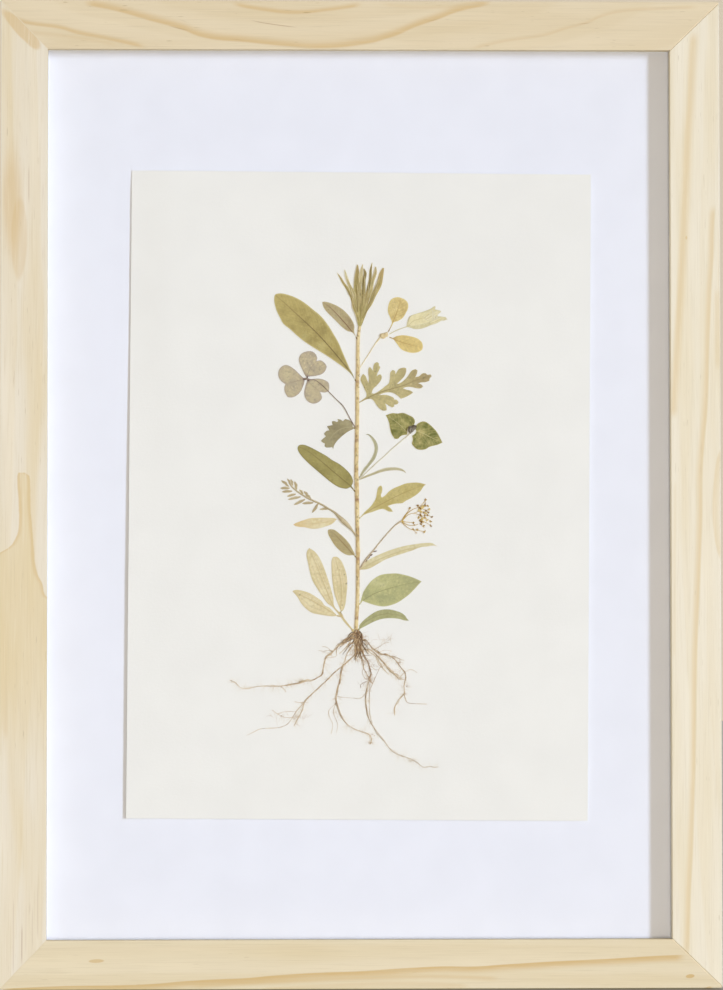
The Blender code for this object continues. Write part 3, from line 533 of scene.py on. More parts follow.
def stalk_look(name, dark, mid, light, run=2, flank_shade=0.6, joints=0.0, joint=(140, 105, 85), knot=None,
               spots=0.66, pale_end=0.0, seed=1.0):
    """Dry stalk or root: fibres along it, blotches, joints and painted shade down one flank,
    the other flank where the flank setting is negative."""
    look = Look(name, 0.75, 0.25)
    stretch = [1.0, 1.0, 1.0]
    stretch[run] = 6.0
    fibre = look.noise(0.0007, 3.0, 0.6, stretch=stretch, seed=seed)
    big = look.noise(0.0035, 2.0, 0.5, seed=seed + 2)
    look.colour = look.mix(look.step(big, 0.40, 0.52), rgb(dark), rgb(mid))
    look.paint(look.step(fibre, 0.50, 0.66, (0.0, 0.8)), light)
    look.paint(look.step(fibre, 0.44, 0.32, (0.0, 0.7)), dark)
    # Painted shade: one flank is darkened as if turned away from the light
    shaded_flank = math.copysign(0.9, flank_shade)
    look.paint(look.step(look.field("side"), -shaded_flank / 6, shaded_flank, (0.0, abs(flank_shade))), dark, 0.86)
    own = look.field("edge")
    look.paint(look.step(own, 0.5, 0.0, (0.0, 0.75)), dark, 0.78)
    look.paint(look.step(own, 0.5, 1.0, (0.0, 0.75)), light, 1.04, 245)
    if pale_end:
        look.paint(look.step(look.field("along"), 0.35, 1.0, (0.0, pale_end)), light)
    dots = look.noise(0.0009, 1.0, 0.5, seed=seed + 6)
    look.paint(look.step(dots, spots, spots + 0.08, (0.0, 0.7)), dark, 0.62)
    if knot:
        own = look.step(fibre, 0.3, 0.7, (0.95, 0.6))
        own = look.times(own, look.step(look.field("rib"), 0.97, 0.93))
        look.paint(own, knot)
    if joints:
        reach = look.sum("MODULO", look.plus(look.field("vein"), joints * 0.35), joints)
        near = look.sum("ABSOLUTE", look.less(reach, joints * 0.5))
        look.paint(look.step(near, 0.2, 1.1, (0.55, 0.0)), joint)
    return look.done(look.step(fibre, 0.2, 0.8, (0.6, 0.9)), look.bump(fibre, 0.00015, 0.6))


def bud_look(name, dark, mid, light, seed=1.0):
    """Dry buds and knots: each keeps a tone of its own, broken up by fine grain."""
    look = Look(name, 0.8, 0.2)
    tone = look.field("rib")
    grain = look.noise(0.0006, 2.0, 0.6, seed=seed)
    pick = look.plus(look.times(tone, 0.75), look.times(grain, 0.5))
    look.colour = look.mix(look.step(pick, 0.25, 0.6), rgb(dark), rgb(mid))
    look.paint(look.step(pick, 0.65, 0.95), light)
    return look.done(0.8, look.bump(grain, 0.0002, 0.7))


def paper_look(name, tone, fibre, seed):
    """Soft cotton paper or card: faint cloudiness and felt marks."""
    look = Look(name, 0.92, 0.2)
    cloud = look.noise(0.022, 3.0, 0.6, seed=seed)
    felt = look.noise(0.0012, 3.0, 0.65, seed=seed + 4)
    threads = look.noise(0.0009, 2.0, 0.7, stretch=(4, 4, 1), seed=seed + 7, warp=1.5)
    look.colour = look.mix(look.step(cloud, 0.3, 0.7), rgb(tone), rgb(tone, 0.988))
    look.paint(look.step(felt, 0.62, 0.80, (0.0, 0.25)), tone, 0.96)
    return look.done(None, look.bump(look.blend(felt, 0.6, threads), 0.0002, fibre))


def on_rail(x, y):
    """A photo pixel on the front of the rails, as X and Z in metres."""
    u, v = x - 361, y - 493
    return ((45 + 454.74 * u - 0.266 * v - 0.0040 * u * v) * 1e-6,
            (304 - 0.027 * u - 454.85 * v - 0.0025 * u * v) * 1e-6)


def pine_look(name, run, pale, ring, deep, arch, spacing, bands=(), lines=(), flame=None, spots=(), pores=0.3,
              seed=1.0):
    """Sawn and varnished pine. Run is the axis that the grain follows. Arch is the middle of
    the growth rings along and across the rail and how much longer than wide they are, in
    metres. A band is one late ring in photo pixels: (how far it fades to the lower or left
    side, to the other side, strength, points). Lines are the same, but darker. A flame is a
    resin stain between two lines of points, with where it fades out. A spot is (x, y, half
    length, half width, strength, turn in degrees)."""
    look = Look(name, 0.52, 0.22)
    axes = look.axes()
    length, across = axes[run], axes[2 - run]
    long = [1.0, 1.0, 1.0]
    long[run] = 9.0
    flow = look.noise(0.010, 2.0, 0.5, stretch=long, seed=seed)
    drift = look.times(look.less(flow, 0.5), 0.006)
    place = look.plus(across, drift)
    a = look.less(place, arch[1])
    d = look.sum("DIVIDE", look.less(length, arch[0]), arch[2])
    far = look.sum("SQRT", look.plus(look.times(a, a), look.times(d, d)))
    turn = look.sum("FRACT", look.sum("DIVIDE", far, spacing))
    late = look.times(look.step(turn, 0.15, 0.80), look.step(turn, 1.0, 0.88))
    look.colour = look.mix(look.times(late, 0.30), rgb(pale), rgb(ring))
    slow = look.noise(0.011, 2.0, 0.5, stretch=long, seed=seed + 2)
    look.paint(look.step(slow, 0.45, 0.75, (0.0, 0.55)), ring)
    look.paint(look.step(slow, 0.45, 0.25, (0.0, 0.45)), pale, 1.035, 250)
    long[run] = 40.0
    fibre = look.noise(0.0006, 3.0, 0.6, stretch=long, seed=seed + 5)
    close = look.plus(across, look.times(drift, 0.25))

    def track(points):
        """Where a line of photo pixels lies across the rail, at each place along it."""
        flip = run // 2
        pairs = sorted((on_rail(*q)[flip], on_rail(*q)[1 - flip]) for q in points)
        base = pairs[0][1] - 0.03
        made = look.node("FloatCurve")
        curve = made.mapping.curves[0]
        for point, (u, v) in zip(curve.points, (pairs[0], pairs[-1])):
            point.location = (2 * u + 0.5, (v - base) / 0.06)
        for u, v in pairs[1:-1]:
            curve.points.new(2 * u + 0.5, (v - base) / 0.06)
        made.mapping.update()
        look.put(made.inputs["Value"], look.plus(look.times(length, 2.0), 0.5))
        line = look.plus(look.times(made.outputs[0], 0.06), base)
        return look.less(close, line), pairs[0][0], pairs[-1][0]

    dark = [c * k for c, k in zip(deep, (0.74, 0.64, 0.58))]
    for tint, drawn in ((deep, bands), (dark, lines)):
        for low, high, strength, *points in drawn:
            gap, start, end = track(points)
            near = look.times(look.step(gap, -low * RAIL_PIXEL, 0.0), look.step(gap, high * RAIL_PIXEL, 0.0))
            ends = look.times(look.step(length, start - 0.001, start + 0.005),
                              look.step(length, end + 0.001, end - 0.005))
            whole = look.step(fibre, 0.2, 0.7, (strength, strength * 0.7))
            look.paint(look.times(look.times(near, ends), whole), tint)
    if flame:
        left, right, gone = flame
        ragged = look.noise(0.004, 3.0, 0.6, stretch=[3.0 if s > 1 else 1.0 for s in long], seed=seed + 6)
        ragged = look.times(look.less(ragged, 0.5), 0.0014)
        gap = look.sum("MINIMUM", track(left)[0], look.times(track(right)[0], -1.0))
        gap = look.plus(gap, ragged)
        tip = on_rail(*left[0])[run // 2]
        held = look.times(look.step(length, tip + 0.0015, tip - 0.0005),
                          look.step(length, *(on_rail(0, y)[1] for y in gone[::-1])))
        stain = look.times(look.step(gap, -0.0001, 0.0005), look.step(slow, 0.1, 0.8, (0.55, 0.85)))
        look.paint(look.times(stain, held), ring)
        rim = look.times(look.step(gap, -0.0002, 0.0004), look.step(gap, 0.0024, 0.0006, (0.0, 0.45)))
        look.paint(look.times(rim, held), deep)
    for x, y, half, tall, strength, turn in spots:
        (px, pz), c, s = on_rail(x, y), math.cos(math.radians(turn)), math.sin(math.radians(turn))
        dx, dz = look.less(axes[0], px), look.less(axes[2], pz)
        u = look.plus(look.times(dx, c / half), look.times(dz, s / half))
        v = look.plus(look.times(dz, c / tall), look.times(dx, -s / tall))
        away = look.sum("SQRT", look.plus(look.times(u, u), look.times(v, v)))
        away = look.plus(away, look.times(look.less(slow, 0.5), 0.8 if half > 0.004 else 0.2))
        soft = 0.25 if half > 0.02 else 0.75
        look.paint(look.step(away, 1.0, soft, (0.0, strength)), deep)
    look.paint(look.step(fibre, 0.50, 0.75, (0.0, 0.32)), ring, 0.93)
    look.paint(look.step(fibre, 0.47, 0.25, (0.0, 0.36)), pale, 1.03, 250)
    long[run] = 14.0
    pore = look.noise(0.0005, 1.0, 0.4, stretch=long, seed=seed + 9)
    gate = look.noise(0.012, 1.0, 0.4, stretch=[3.0 if s > 1 else 1.0 for s in long], seed=seed + 13)
    pore = look.times(look.step(pore, 0.70, 0.78, (0.0, pores)), look.step(gate, 0.42, 0.60))
    look.paint(pore, deep, 0.80)
    rough = look.step(fibre, 0.2, 0.8, (0.50, 0.66))
    return look.done(rough, look.bump(look.blend(fibre, 0.6, late), 0.00006, 0.4))


def dress(node, look):
    """Give a CAD node its detailed material."""
    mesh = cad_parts[node].data
    mesh.materials.clear()
    mesh.materials.append(look)


# Frame, boards, glass and fittings

dress("rail_left", pine_look(
    "pine_left", 2, (237, 226, 200), (230, 210, 163), (219, 188, 130), (0.10, -0.20, 9.0), 0.011,
    bands=[(8, 3, 0.35, (8, 620), (6, 680), (7, 740))],
    lines=[(0.8, 0.8, 0.45, (29.5, 164), (29.3, 205)), (0.7, 0.7, 0.30, (27, 135), (27, 147)),
           (0.7, 0.7, 0.25, (43.5, 181), (43.3, 201)), (0.7, 0.7, 0.25, (43, 246), (42.8, 263)),
           (0.7, 0.7, 0.25, (8, 97), (8.2, 111)), (0.8, 0.8, 0.40, (40.6, 687), (41, 715)),
           (0.8, 0.8, 0.28, (38.4, 884), (38.6, 940)), (1.0, 1.0, 0.60, (30.7, 902), (30.6, 913)),
           (0.9, 0.9, 0.62, (22.3, 923), (22.2, 964)), (0.8, 0.8, 0.30, (13.6, 897), (13.4, 974)),
           (0.7, 0.7, 0.22, (18.4, 687), (18.6, 718)), (0.7, 0.7, 0.25, (33.5, 905), (33.4, 950)),
           (0.7, 0.7, 0.20, (26.5, 900), (26.4, 955))],
    flame=([(20.5, 471.8), (17.9, 475), (18.7, 501), (19.6, 521), (13.6, 543.5), (3.4, 552), (-6, 562),
            (-6, 900)],
           [(20.5, 471.8), (30.7, 478.6), (31.5, 509), (34, 535), (36.7, 569), (42.7, 586), (45.2, 596),
            (54, 606), (54, 900)], (650, 800)),
    spots=[(12, 196, 0.036, 0.0065, 0.55, 90), (20, 240, 0.020, 0.004, 0.35, 90),
           (20.5, 26.5, 0.0135, 0.0037, 0.62, -46)], seed=2.0))
dress("rail_right", pine_look(
    "pine_right", 2, (242, 232, 205), (236, 221, 183), (227, 202, 150), (0.06, 0.19, 9.0), 0.009,
    bands=[(6, 8, 0.75, (694.5, 30), (693.1, 51), (691.4, 85), (688, 137), (685.4, 205), (682.9, 256),
            (678.6, 330),
            (673, 420)),
           (7, 2.5, 0.85, (714.8, 205), (713.6, 230), (713.2, 256), (711, 290), (709.4, 330), (707.2, 398),
            (703, 449.6), (701.6, 475), (701.6, 518), (700.6, 552), (698.8, 603), (696.5, 660), (695, 728),
            (693.4, 796.6), (691.8, 848), (689.6, 899),
            (688.6, 956)),
           (2, 9, 0.55, (722, 448), (715.8, 475), (714.1, 509), (715.8, 535), (722, 562)),
           (3, 9, 0.45, (717, 288), (717.5, 372)), (4, 2, 0.25, (676, 480), (675, 660))],
    lines=[(0.9, 0.9, 0.35, (701.8, 443), (701.4, 455)), (0.9, 0.9, 0.35, (701.2, 464), (701.4, 477))],
    spots=[(686.6, 238, 0.0010, 0.0005, 0.9, 90)], seed=5.0))
dress("rail_top", pine_look(
    "pine_top", 0, (232, 215, 178), (223, 203, 160), (214, 181, 120), (-0.024, 0.236, 4.0), 0.0105,
    bands=[(2.8, 9, 0.85, (84, 2), (102, 5), (150, 18), (179, 26), (213, 36.6), (244, 39.6), (285, 44.4),
            (315, 46.6), (362, 42.7), (387, 36.6), (420, 23), (440, 16), (458, 9),
            (491, 2)),
           (3, 5, 0.75, (12, 13), (30, 22), (59, 26.4), (77, 31.5), (106, 37), (130, 42), (146, 45.6)),
           (3, 5, 0.75, (232, 2), (264, 8), (295, 11), (325, 8.6), (362, 3)),
           (2, 4, 0.36, (471, 47.8), (503, 40.6), (544, 34.5), (564, 28.5), (585, 22.4), (605, 14), (625, 10),
            (656, 8), (698, 6)),
           (4, 3, 0.25, (0, 30), (60, 34), (120, 44)), (3, 4, 0.22, (380, 2), (430, 6), (470, 2))],
    lines=[(0.8, 0.8, 0.60, (250, 19), (268, 22.6), (297, 26.5)), (0.9, 0.9, 0.45, (168, 24.6), (190, 29.6)),
           (0.8, 0.8, 0.35, (177, 17), (189, 21.6)), (0.8, 0.8, 0.35, (230, 37.6), (246, 39.4)),
           (0.8, 0.8, 0.40, (425, 21.4), (441, 16.8)), (0.8, 0.8, 0.45, (576, 23.4), (594, 21.4)),
           (0.8, 0.8, 0.25, (480, 28.4), (492, 26.8)), (0.7, 0.7, 0.25, (340, 20), (352, 21))],
    pores=0.75, seed=8.0))
dress("rail_bottom", pine_look(
    "pine_bottom", 0, (232, 217, 181), (224, 205, 160), (212, 178, 114), (0.0, -0.30, 9.0), 0.012,
    bands=[(9, 1.2, 1.0, (0, 989), (61, 986), (122, 985), (154, 983.4), (183, 980.7), (213, 978.6),
            (244, 977.2), (274, 974.6), (305, 972.5), (362, 970.6), (381, 969.5), (412, 967.4),
            (442, 965.8), (473, 966), (503, 964), (534, 962), (564, 960.3), (605, 958.3), (645, 955.9),
            (686, 954.2)),
           (4, 4, 0.45, (190, 985), (260, 981), (340, 978), (420, 976), (500, 978)),
           (9, 3, 0.30, (260, 988), (330, 984), (400, 982), (470, 985))],
    spots=[(96.5, 960, 0.0038, 0.0009, 0.60, 2), (690.5, 975, 0.0023, 0.0010, 0.85, 6),
           (708.5, 988, 0.0020, 0.0012, 0.65, 30)], seed=11.0))


def mitre_glue():
    """The thin glue line in each mitre, just below the front of the rails."""
    shape = Shape()
    for rail in ("rail_left", "rail_right"):
        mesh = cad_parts[rail].data
        for face in mesh.polygons:
            if 0.6 < abs(face.normal.x) < 0.8 and 0.6 < abs(face.normal.z) < 0.8:
                corners = [np.array(mesh.vertices[i].co) * 1000.0 for i in face.vertices]
                away = np.array(face.normal)
                middle = sum(corners) / len(corners)
                corners = [c + 0.02 * (middle - c) / np.linalg.norm(middle - c) for c in corners]
                front = min(v.co.y for v in mesh.vertices) * 1000.0
                for c in corners:
                    c[1] = max(c[1], front + 0.03)
                n = len(corners)
                points = [c + 0.005 * away for c in corners] + [c + 0.292 * away for c in corners]
                sides = [(i, (i + 1) % n, (i + 1) % n + n, i + n) for i in range(n)]
                shape.add(points, [tuple(range(n))[::-1], tuple(range(n, 2 * n))] + sides)
    look = Look("glue_line", 0.6, 0.3)
    tone = look.noise(0.002, 3.0, 0.6, seed=7.0)
    look.colour = look.mix(tone, rgb((222, 204, 168)), rgb((242, 228, 196)))
    shape.finish("mitre_glue", look.done(look.step(tone, 0.2, 0.8, (0.5, 0.7))), "pine")


mitre_glue()

card = paper_look("card_white", (243, 244, 246), 0.2, 3.0)
for name in ("backing_card", "riser_card", "spacer_left", "spacer_right", "spacer_top", "spacer_bottom"):
    dress(name, card)


def board_look():
    """Hardboard: pressed wood fibres, a woven wire mark on its rough side."""
    look = Look("hardboard_brown", 0.85, 0.2)
    axes = look.axes()
    clump = look.noise(0.0022, 4.0, 0.7, seed=4.0)
    cloud = look.noise(0.03, 2.0, 0.5, seed=6.0)
    look.colour = look.mix(look.step(clump, 0.35, 0.65), (0.13, 0.075, 0.038), (0.25, 0.155, 0.085))
    look.colour = look.mix(look.step(cloud, 0.4, 0.7, (0.0, 0.4)), look.colour, (0.30, 0.19, 0.11))
    wires = 4200.0      # the wire mark, radians per metre
    weave = look.plus(look.sum("SINE", look.times(axes[0], wires)),
                      look.sum("SINE", look.times(axes[2], wires)))
    height = look.plus(look.times(weave, 0.12), clump)
    return look.done(None, look.bump(height, 0.0004, 0.6))


def steel_look():
    """Zinc plated steel with fine brushing and dull clouds."""
    look = Look("zinc_brushed", 0.35, 0.5, 1.0)
    brush = look.noise(0.0004, 3.0, 0.6, stretch=(30, 1, 1), seed=3.0)
    cloud = look.noise(0.004, 2.0, 0.6, seed=5.0)
    look.colour = look.mix(look.step(cloud, 0.35, 0.7), (0.50, 0.50, 0.48), (0.68, 0.68, 0.66))
    return look.done(look.step(brush, 0.25, 0.75, (0.26, 0.46)), look.bump(brush, 0.00005, 0.5))


dress("back_panel", board_look())
steel = steel_look()
for name in ("tab_left_upper", "tab_left_lower", "tab_right_upper", "tab_right_lower", "tab_top",
             "tab_bottom", "sawtooth_hanger"):
    dress(name, steel)

glass = Look("clear_glass", 0.0, 0.5)
glass.shader.inputs["Transmission Weight"].default_value = 1.0
glass.shader.inputs["IOR"].default_value = 1.45
glass.colour = (1.0, 1.0, 1.0)
dress("glass_pane", glass.done())
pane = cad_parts["glass_pane"]
pane.visible_shadow = pane.visible_diffuse = False


# The sheet

def sheet():
    """Cotton paper as a thin slab. Its margins bend a little outside the riser card."""
    wide, tall, thick = 210.5, 296.0, 0.4
    nx, nz = 84, 118
    turn = math.radians(-0.43)
    cx, cz = OPEN_X + 0.2, OPEN_Z - 0.7
    u = np.linspace(-wide / 2, wide / 2, nx + 1)
    w = np.linspace(-tall / 2, tall / 2, nz + 1)
    grid = np.array([(a, b) for b in w for a in u])
    left, right = ease(-grid[:, 0], 86, 106), ease(grid[:, 0], 86, 106)
    top, bottom = ease(grid[:, 1], 136, 148), ease(-grid[:, 1], 136, 148)
    high = ease(grid[:, 1], -60, 120)
    bend = 0.75 * left * high - 0.20 * left * (1 - high) + 0.30 * right + 0.30 * top + 0.10 * bottom
    margin = np.clip(left + right + top + bottom, 0, 1)
    bend += margin * 0.05 * wander(grid, 40, 3.1)
    bend = np.clip(bend, -0.5, 1.1)
    # The cut edge is slightly uneven
    fray = 0.10 * wander(grid, 7, 1.7)
    edge = ((np.abs(grid[:, 0]) > wide / 2 - 0.01) | (np.abs(grid[:, 1]) > tall / 2 - 0.01))
    grid = grid - np.sign(grid) * (edge * np.abs(fray))[:, None]
    x = cx + grid[:, 0] * math.cos(turn) - grid[:, 1] * math.sin(turn)
    z = cz + grid[:, 0] * math.sin(turn) + grid[:, 1] * math.cos(turn)
    front = SHEET_FRONT + bend
    n = len(grid)
    points = np.vstack([np.column_stack([x, front, z]), np.column_stack([x, front + thick, z])])
    faces = []
    row = nx + 1
    for j in range(nz):
        for i in range(nx):
            a = j * row + i
            faces.append((a, a + 1, a + row + 1, a + row))
            faces.append((n + a, n + a + row, n + a + row + 1, n + a + 1))
    rim = (list(range(row)) + [j * row + nx for j in range(1, nz + 1)]
           + [nz * row + i for i in range(nx - 1, -1, -1)] + [j * row for j in range(nz - 1, 0, -1)])
    for a, b in zip(rim, rim[1:] + rim[:1]):
        faces.append((b, a, a + n, b + n))
    shape = Shape()
    shape.add(points, faces)
    shape.finish("cotton_sheet", paper_look("cotton_paper", (246, 244, 232), 0.5, 9.0), "cotton_paper",
                 "specimen_sheet", sharp=40)


sheet()


# Leaves that keep the CAD outline

def single(node, midrib, look, slot, veins=None, extra=(), foot=(), **shape_settings):
    """One leaf on a CAD outline. Veins is (spacing, lean), extra is drawn veins in pixels.
    Foot is the place and half width in pixels where it meets the stem."""
    ring = cad_outline(node)
    line = at(midrib)
    drawn = [at(v) for v in extra]
    if veins:
        drawn += side_veins(line, spline(ring, 0.5, closed=True), *veins)
    shape = Shape()
    leaf(shape, ring, line, drawn, **shape_settings)
    if foot:
        tube(shape, [(*midrib[0], foot[2]), foot], flat=0.35, rough=0.3, step=0.25,
             fields=dict(edge=0.4, rib=0.12, vein=OWN + 0.5))
    shape.finish(node + "_fine", look, slot, node)


single("large_leaf", [(354.6, 379.4), (348.6, 370.4), (337, 356), (325, 342), (312, 328.5), (298, 315.5),
                      (284.5, 303), (275.6, 295.4)],
       leaf_look("leaf_large", (162, 145, 83), (184, 166, 99), (197, 182, 117), rib=(116, 96, 54),
                 rib_width=0.2,
                 rim=(213, 200, 138), rim_width=0.7, veins=0.12, tip=(191, 172, 103), foot=(110, 98, 58),
                 reach=0.12, mottle=1.0, seed=1.3),
       "leaf_olive", (2.4, 38, 0.6), foot=(356.8, 383, 0.5), step=0.5, cup=0.12, seed=1.0)
single("small_brown_leaf", [(355.6, 336.7), (348, 326.8), (338, 315.5), (329, 306.5), (322.6, 302)],
       leaf_look("leaf_small_brown", (168, 148, 105), (184, 167, 120), (194, 180, 137), rib=(128, 91, 61),
                 rim=(202, 188, 143), rib_width=0.2, veins=0.14, specks=0.5, seed=2.1),
       "leaf_brown", (1.7, 42), foot=(357.6, 341.5, 0.45), step=0.36, seed=2.0)
single("sprig_leaflet_upper", [(388, 331.8), (391.4, 324.6), (396, 314), (399.4, 304), (400.5, 298)],
       leaf_look("leaf_gold_upper", (206, 181, 115), (220, 197, 128), (230, 210, 146), rib=(189, 155, 87),
                 rim=(232, 214, 143), foot=(136, 96, 55), blotch=4, seed=3.4),
       "leaf_straw", (1.6, 48), step=0.36, seed=3.0)
single("sprig_leaflet_lower", [(389.1, 337.1), (393.2, 339), (403, 342.6), (413, 345.4), (421.8, 347.4)],
       leaf_look("leaf_gold_lower", (212, 186, 114), (224, 199, 125), (230, 207, 134), rib=(195, 161, 91),
                 rim=(235, 215, 142), foot=(148, 107, 62), blotch=4, seed=4.2),
       "leaf_straw", (1.6, 48), step=0.36, seed=4.0)
flower = Shape()
bell = [(389.2, 334), (398, 330), (407, 326.4), (420, 320.4), (433, 315.6), (446, 318.6)]
leaf(flower, cad_outline("flower"), at(bell), step=0.36, wave=0.15, crumple=0.06, tone=0.2, seed=5.0)
for i, (tone, *petal) in enumerate((
        (0.6, (409, 324.5, 2.2), (413, 321, 5.4), (420, 318.6, 6.0), (427, 317.2, 5.6), (431.6, 316.2, 4.6)),
        (0.5, (424, 318, 2.2), (429, 313.6, 2.6), (433, 310, 1.7), (435, 306.2, 0.4)),
        (0.7, (426, 319, 2.2), (432, 315.6, 2.6), (437, 312.6, 1.9), (440.8, 311, 0.5)),
        (0.95, (432, 322, 0.8), (433.6, 317.6, 1.5), (433, 312.6, 1.0), (431.8, 309.4, 0.4)),
        (0.9, (435.4, 323.4, 0.5), (436.2, 319.4, 1.2), (437.4, 315.4, 0.6)),
        (0.65, (430, 323.6, 1.6), (436.4, 321, 2.0), (441.6, 318.4, 1.6), (445.2, 317.6, 0.9),
         (447, 319.6, 0.3)))):
    ring, line = ribbon(petal)
    leaf(flower, ring, line, step=0.34, lift=0.10 + 0.05 * i, cup=0.12, wave=0.25, ridge=0.05, crumple=0.05,
         thick=0.1, tone=tone, seed=5.3 + i)
flower.finish("flower_fine",
              leaf_look("petal_lemon", (226, 214, 157), (234, 222, 170), (242, 232, 185), rib=(215, 201, 149),
                        rim=(215, 206, 164), rim_width=0.4, shades=((203, 193, 147), (246, 240, 212)),
                        blotch=3, mottle=1.2, seed=5.1),
              "petal", "flower")
single("lobed_leaf", [(359.9, 401.9), (365, 399.4), (370.5, 396.4), (382, 391.6), (393, 388.4), (404, 385.2),
                      (416, 380), (429.6, 376.2)],
       leaf_look("leaf_lobed", (174, 161, 111), (193, 179, 122), (205, 191, 137), rib=(156, 139, 87),
                 rib_width=0.2, veins=0.22, vein=(158, 142, 91), rim=(208, 195, 143), rim_width=0.3,
                 specks=0.3, tip=(164, 142, 98), seed=6.6),
       "leaf_olive", extra=[[(370.5, 396.4), (367.4, 388), (363.4, 378.6)],
                            [(369, 392), (371, 380), (370.2, 369.4)],
                            [(370.6, 388), (374.6, 376), (377, 364.4)],
                            [(382, 391.6), (389.4, 387), (392.6, 379), (393, 372)],
                            [(390.5, 389.4), (397.4, 381), (403.6, 370.6)],
                            [(402, 386), (409, 378.6), (414.8, 371.4)],
                            [(411, 382.4), (418, 379.4), (425, 376.2)],
                            [(384, 391.4), (394, 391.4), (402.4, 395)],
                            [(397, 388), (404, 390.6), (411, 392.6)],
                            [(404, 385.6), (412, 386), (420.6, 386.6)],
                            [(372, 397.4), (384, 398), (395.6, 402)],
                            [(372.6, 398.6), (379, 403.4), (384.8, 409)]],
       foot=(358.2, 402.6, 0.5), step=0.4, cup=0.12, wave=0.08, seed=6.0)
for node, line, seed in (("clover_leaflet_top", [(306.2, 376.8), (309.8, 369), (316.2, 361.3)], 7.0),
                         ("clover_leaflet_left", [(304.4, 379.3), (295, 381.4), (285.6, 384.2)], 8.0),
                         ("clover_leaflet_right", [(307, 380.7), (312.6, 386), (319.7, 391.8)], 9.0)):
    single(node, line,
           leaf_look("leaf_" + node, (181, 167, 138), (196, 181, 142), (205, 192, 148), rib=(171, 152, 122),
                     rib_width=0.12, rim=(183, 167, 145), rim_width=0.9, veins=0.06, vein=(167, 152, 122),
                     foot=(159, 140, 120), blotch=4, mottle=2.4, seed=seed),
           "leaf_brown", (1.1, 34, -0.4, 0.05, 0.9), step=0.4, cup=0.1, wave=0.07, seed=seed)
single("serrated_leaf", [(353.5, 427.9), (346, 427.6), (338, 430.4), (331, 437), (326, 446.4)],
       leaf_look("leaf_serrated", (143, 132, 95), (157, 146, 104), (173, 161, 120), rib=(176, 164, 123),
                 veins=0.18, vein=(174, 163, 121), tip=(164, 154, 113), seed=10.2),
       "leaf_olive", (1.9, 44), foot=(356.2, 428.6, 1.1), step=0.36, wave=0.08, crumple=0.06, seed=10.0)
single("folded_leaf_left", [(407, 432.6), (399.4, 424.8), (392, 419), (385.7, 415.5)],
       leaf_look("leaf_folded_left", (109, 109, 45), (148, 143, 79), (194, 181, 114), rib=(192, 181, 124),
                 rib_width=0.13, veins=0.30, vein=(183, 173, 109), rim=(185, 171, 101), rim_width=0.45,
                 blotch=3, mottle=1.3, seed=11.1),
       "leaf_green", (1.8, 42), step=0.36, cup=0.12, wave=0.12, ridge=0.14, crumple=0.06, seed=11.0)
single("folded_leaf_right", [(415, 430.6), (424, 434), (433, 438.6), (441.8, 442.5)],
       leaf_look("leaf_folded_right", (113, 115, 51), (151, 146, 82), (207, 190, 123), rib=(196, 186, 127),
                 rib_width=0.13, veins=0.30, vein=(190, 178, 115), rim=(190, 176, 108), rim_width=0.45,
                 blotch=3, mottle=1.3, seed=12.4),
       "leaf_green", (1.8, 42), step=0.36, cup=0.12, wave=0.12, ridge=0.14, crumple=0.06, seed=12.0)
single("curved_leaf_upper", [(360.2, 476), (363.5, 470.8), (368.6, 464.4), (373.2, 458), (375.5, 450.4),
                             (375, 444), (372, 438.2), (365.6, 434.3)],
       leaf_look("leaf_curved_upper", (172, 166, 127), (189, 183, 145), (211, 204, 166), rib=(164, 157, 115),
                 half=(207, 200, 162), stripes=2, seed=13.3),
       "leaf_olive", foot=(358.2, 478.4, 0.5), step=0.3, cup=0.12, seed=13.0)
single("curved_leaf_lower", [(360, 479.2), (365.3, 476.8), (372.6, 474), (380, 471.2), (388, 469.2),
                             (396, 468.9), (402.2, 470.3), (405.6, 473.3)],
       leaf_look("leaf_curved_lower", (191, 180, 138), (201, 190, 149), (213, 205, 166), rib=(179, 167, 123),
                 half=(214, 205, 166), stripes=2, seed=14.3),
       "leaf_olive", foot=(358, 480.2, 0.5), step=0.3, cup=0.12, seed=14.0)
single("oval_leaf", [(353.3, 490), (350, 485.8), (343, 480), (332, 470.8), (320, 460.6), (308, 451.4),
                     (298, 446.4)],
       leaf_look("leaf_oval", (149, 138, 77), (162, 150, 85), (173, 161, 96), rib=(128, 112, 60),
                 rib_width=0.18, rim=(139, 129, 71), veins=0.12, seed=15.2),
       "leaf_green", (2.1, 40, 0.7), foot=(356, 493, 0.6), step=0.45, cup=0.08, seed=15.0)
single("straw_leaf", [(336.4, 518.7), (326, 522), (314, 523.4), (302, 523.8), (293.2, 524.4)],
       leaf_look("leaf_straw_yellow", (225, 204, 147), (231, 214, 166), (237, 227, 183), rib=(217, 198, 147),
                 tip=(225, 190, 122), stripes=7, blotch=5, seed=16.8),
       "leaf_straw", step=0.36, seed=16.0)
single("small_oval_leaf", [(354.5, 556.1), (346.6, 547.4), (338, 538), (331.6, 531.8), (328, 530)],
       leaf_look("leaf_small_oval", (171, 152, 100), (184, 167, 117), (192, 178, 128), rib=(145, 120, 72),
                 rim=(196, 182, 132), veins=0.22, seed=17.7),
       "leaf_green", (1.6, 40), foot=(356.8, 558.4, 0.6), step=0.36, seed=17.0)
single("halberd_leaf", [(359.8, 517.8), (366, 512.8), (372, 508.8), (384, 502.6), (396, 496.4), (410, 490.2),
                        (425.2, 484.7)],
       leaf_look("leaf_halberd", (190, 172, 102), (198, 182, 114), (207, 192, 132), rib=(174, 152, 90),
                 rim=(213, 199, 140), rim_width=0.4, veins=0.16, vein=(178, 159, 95), seed=18.9),
       "leaf_olive", (2.2, 42, 0.5, 0.3, 0.92),
       extra=[[(375.5, 506.6), (378.4, 498), (379.8, 487.6)], [(376.5, 506.8), (385, 507.2), (391.6, 511)]],
       foot=(357.8, 518.6, 0.6), step=0.42, seed=18.0)
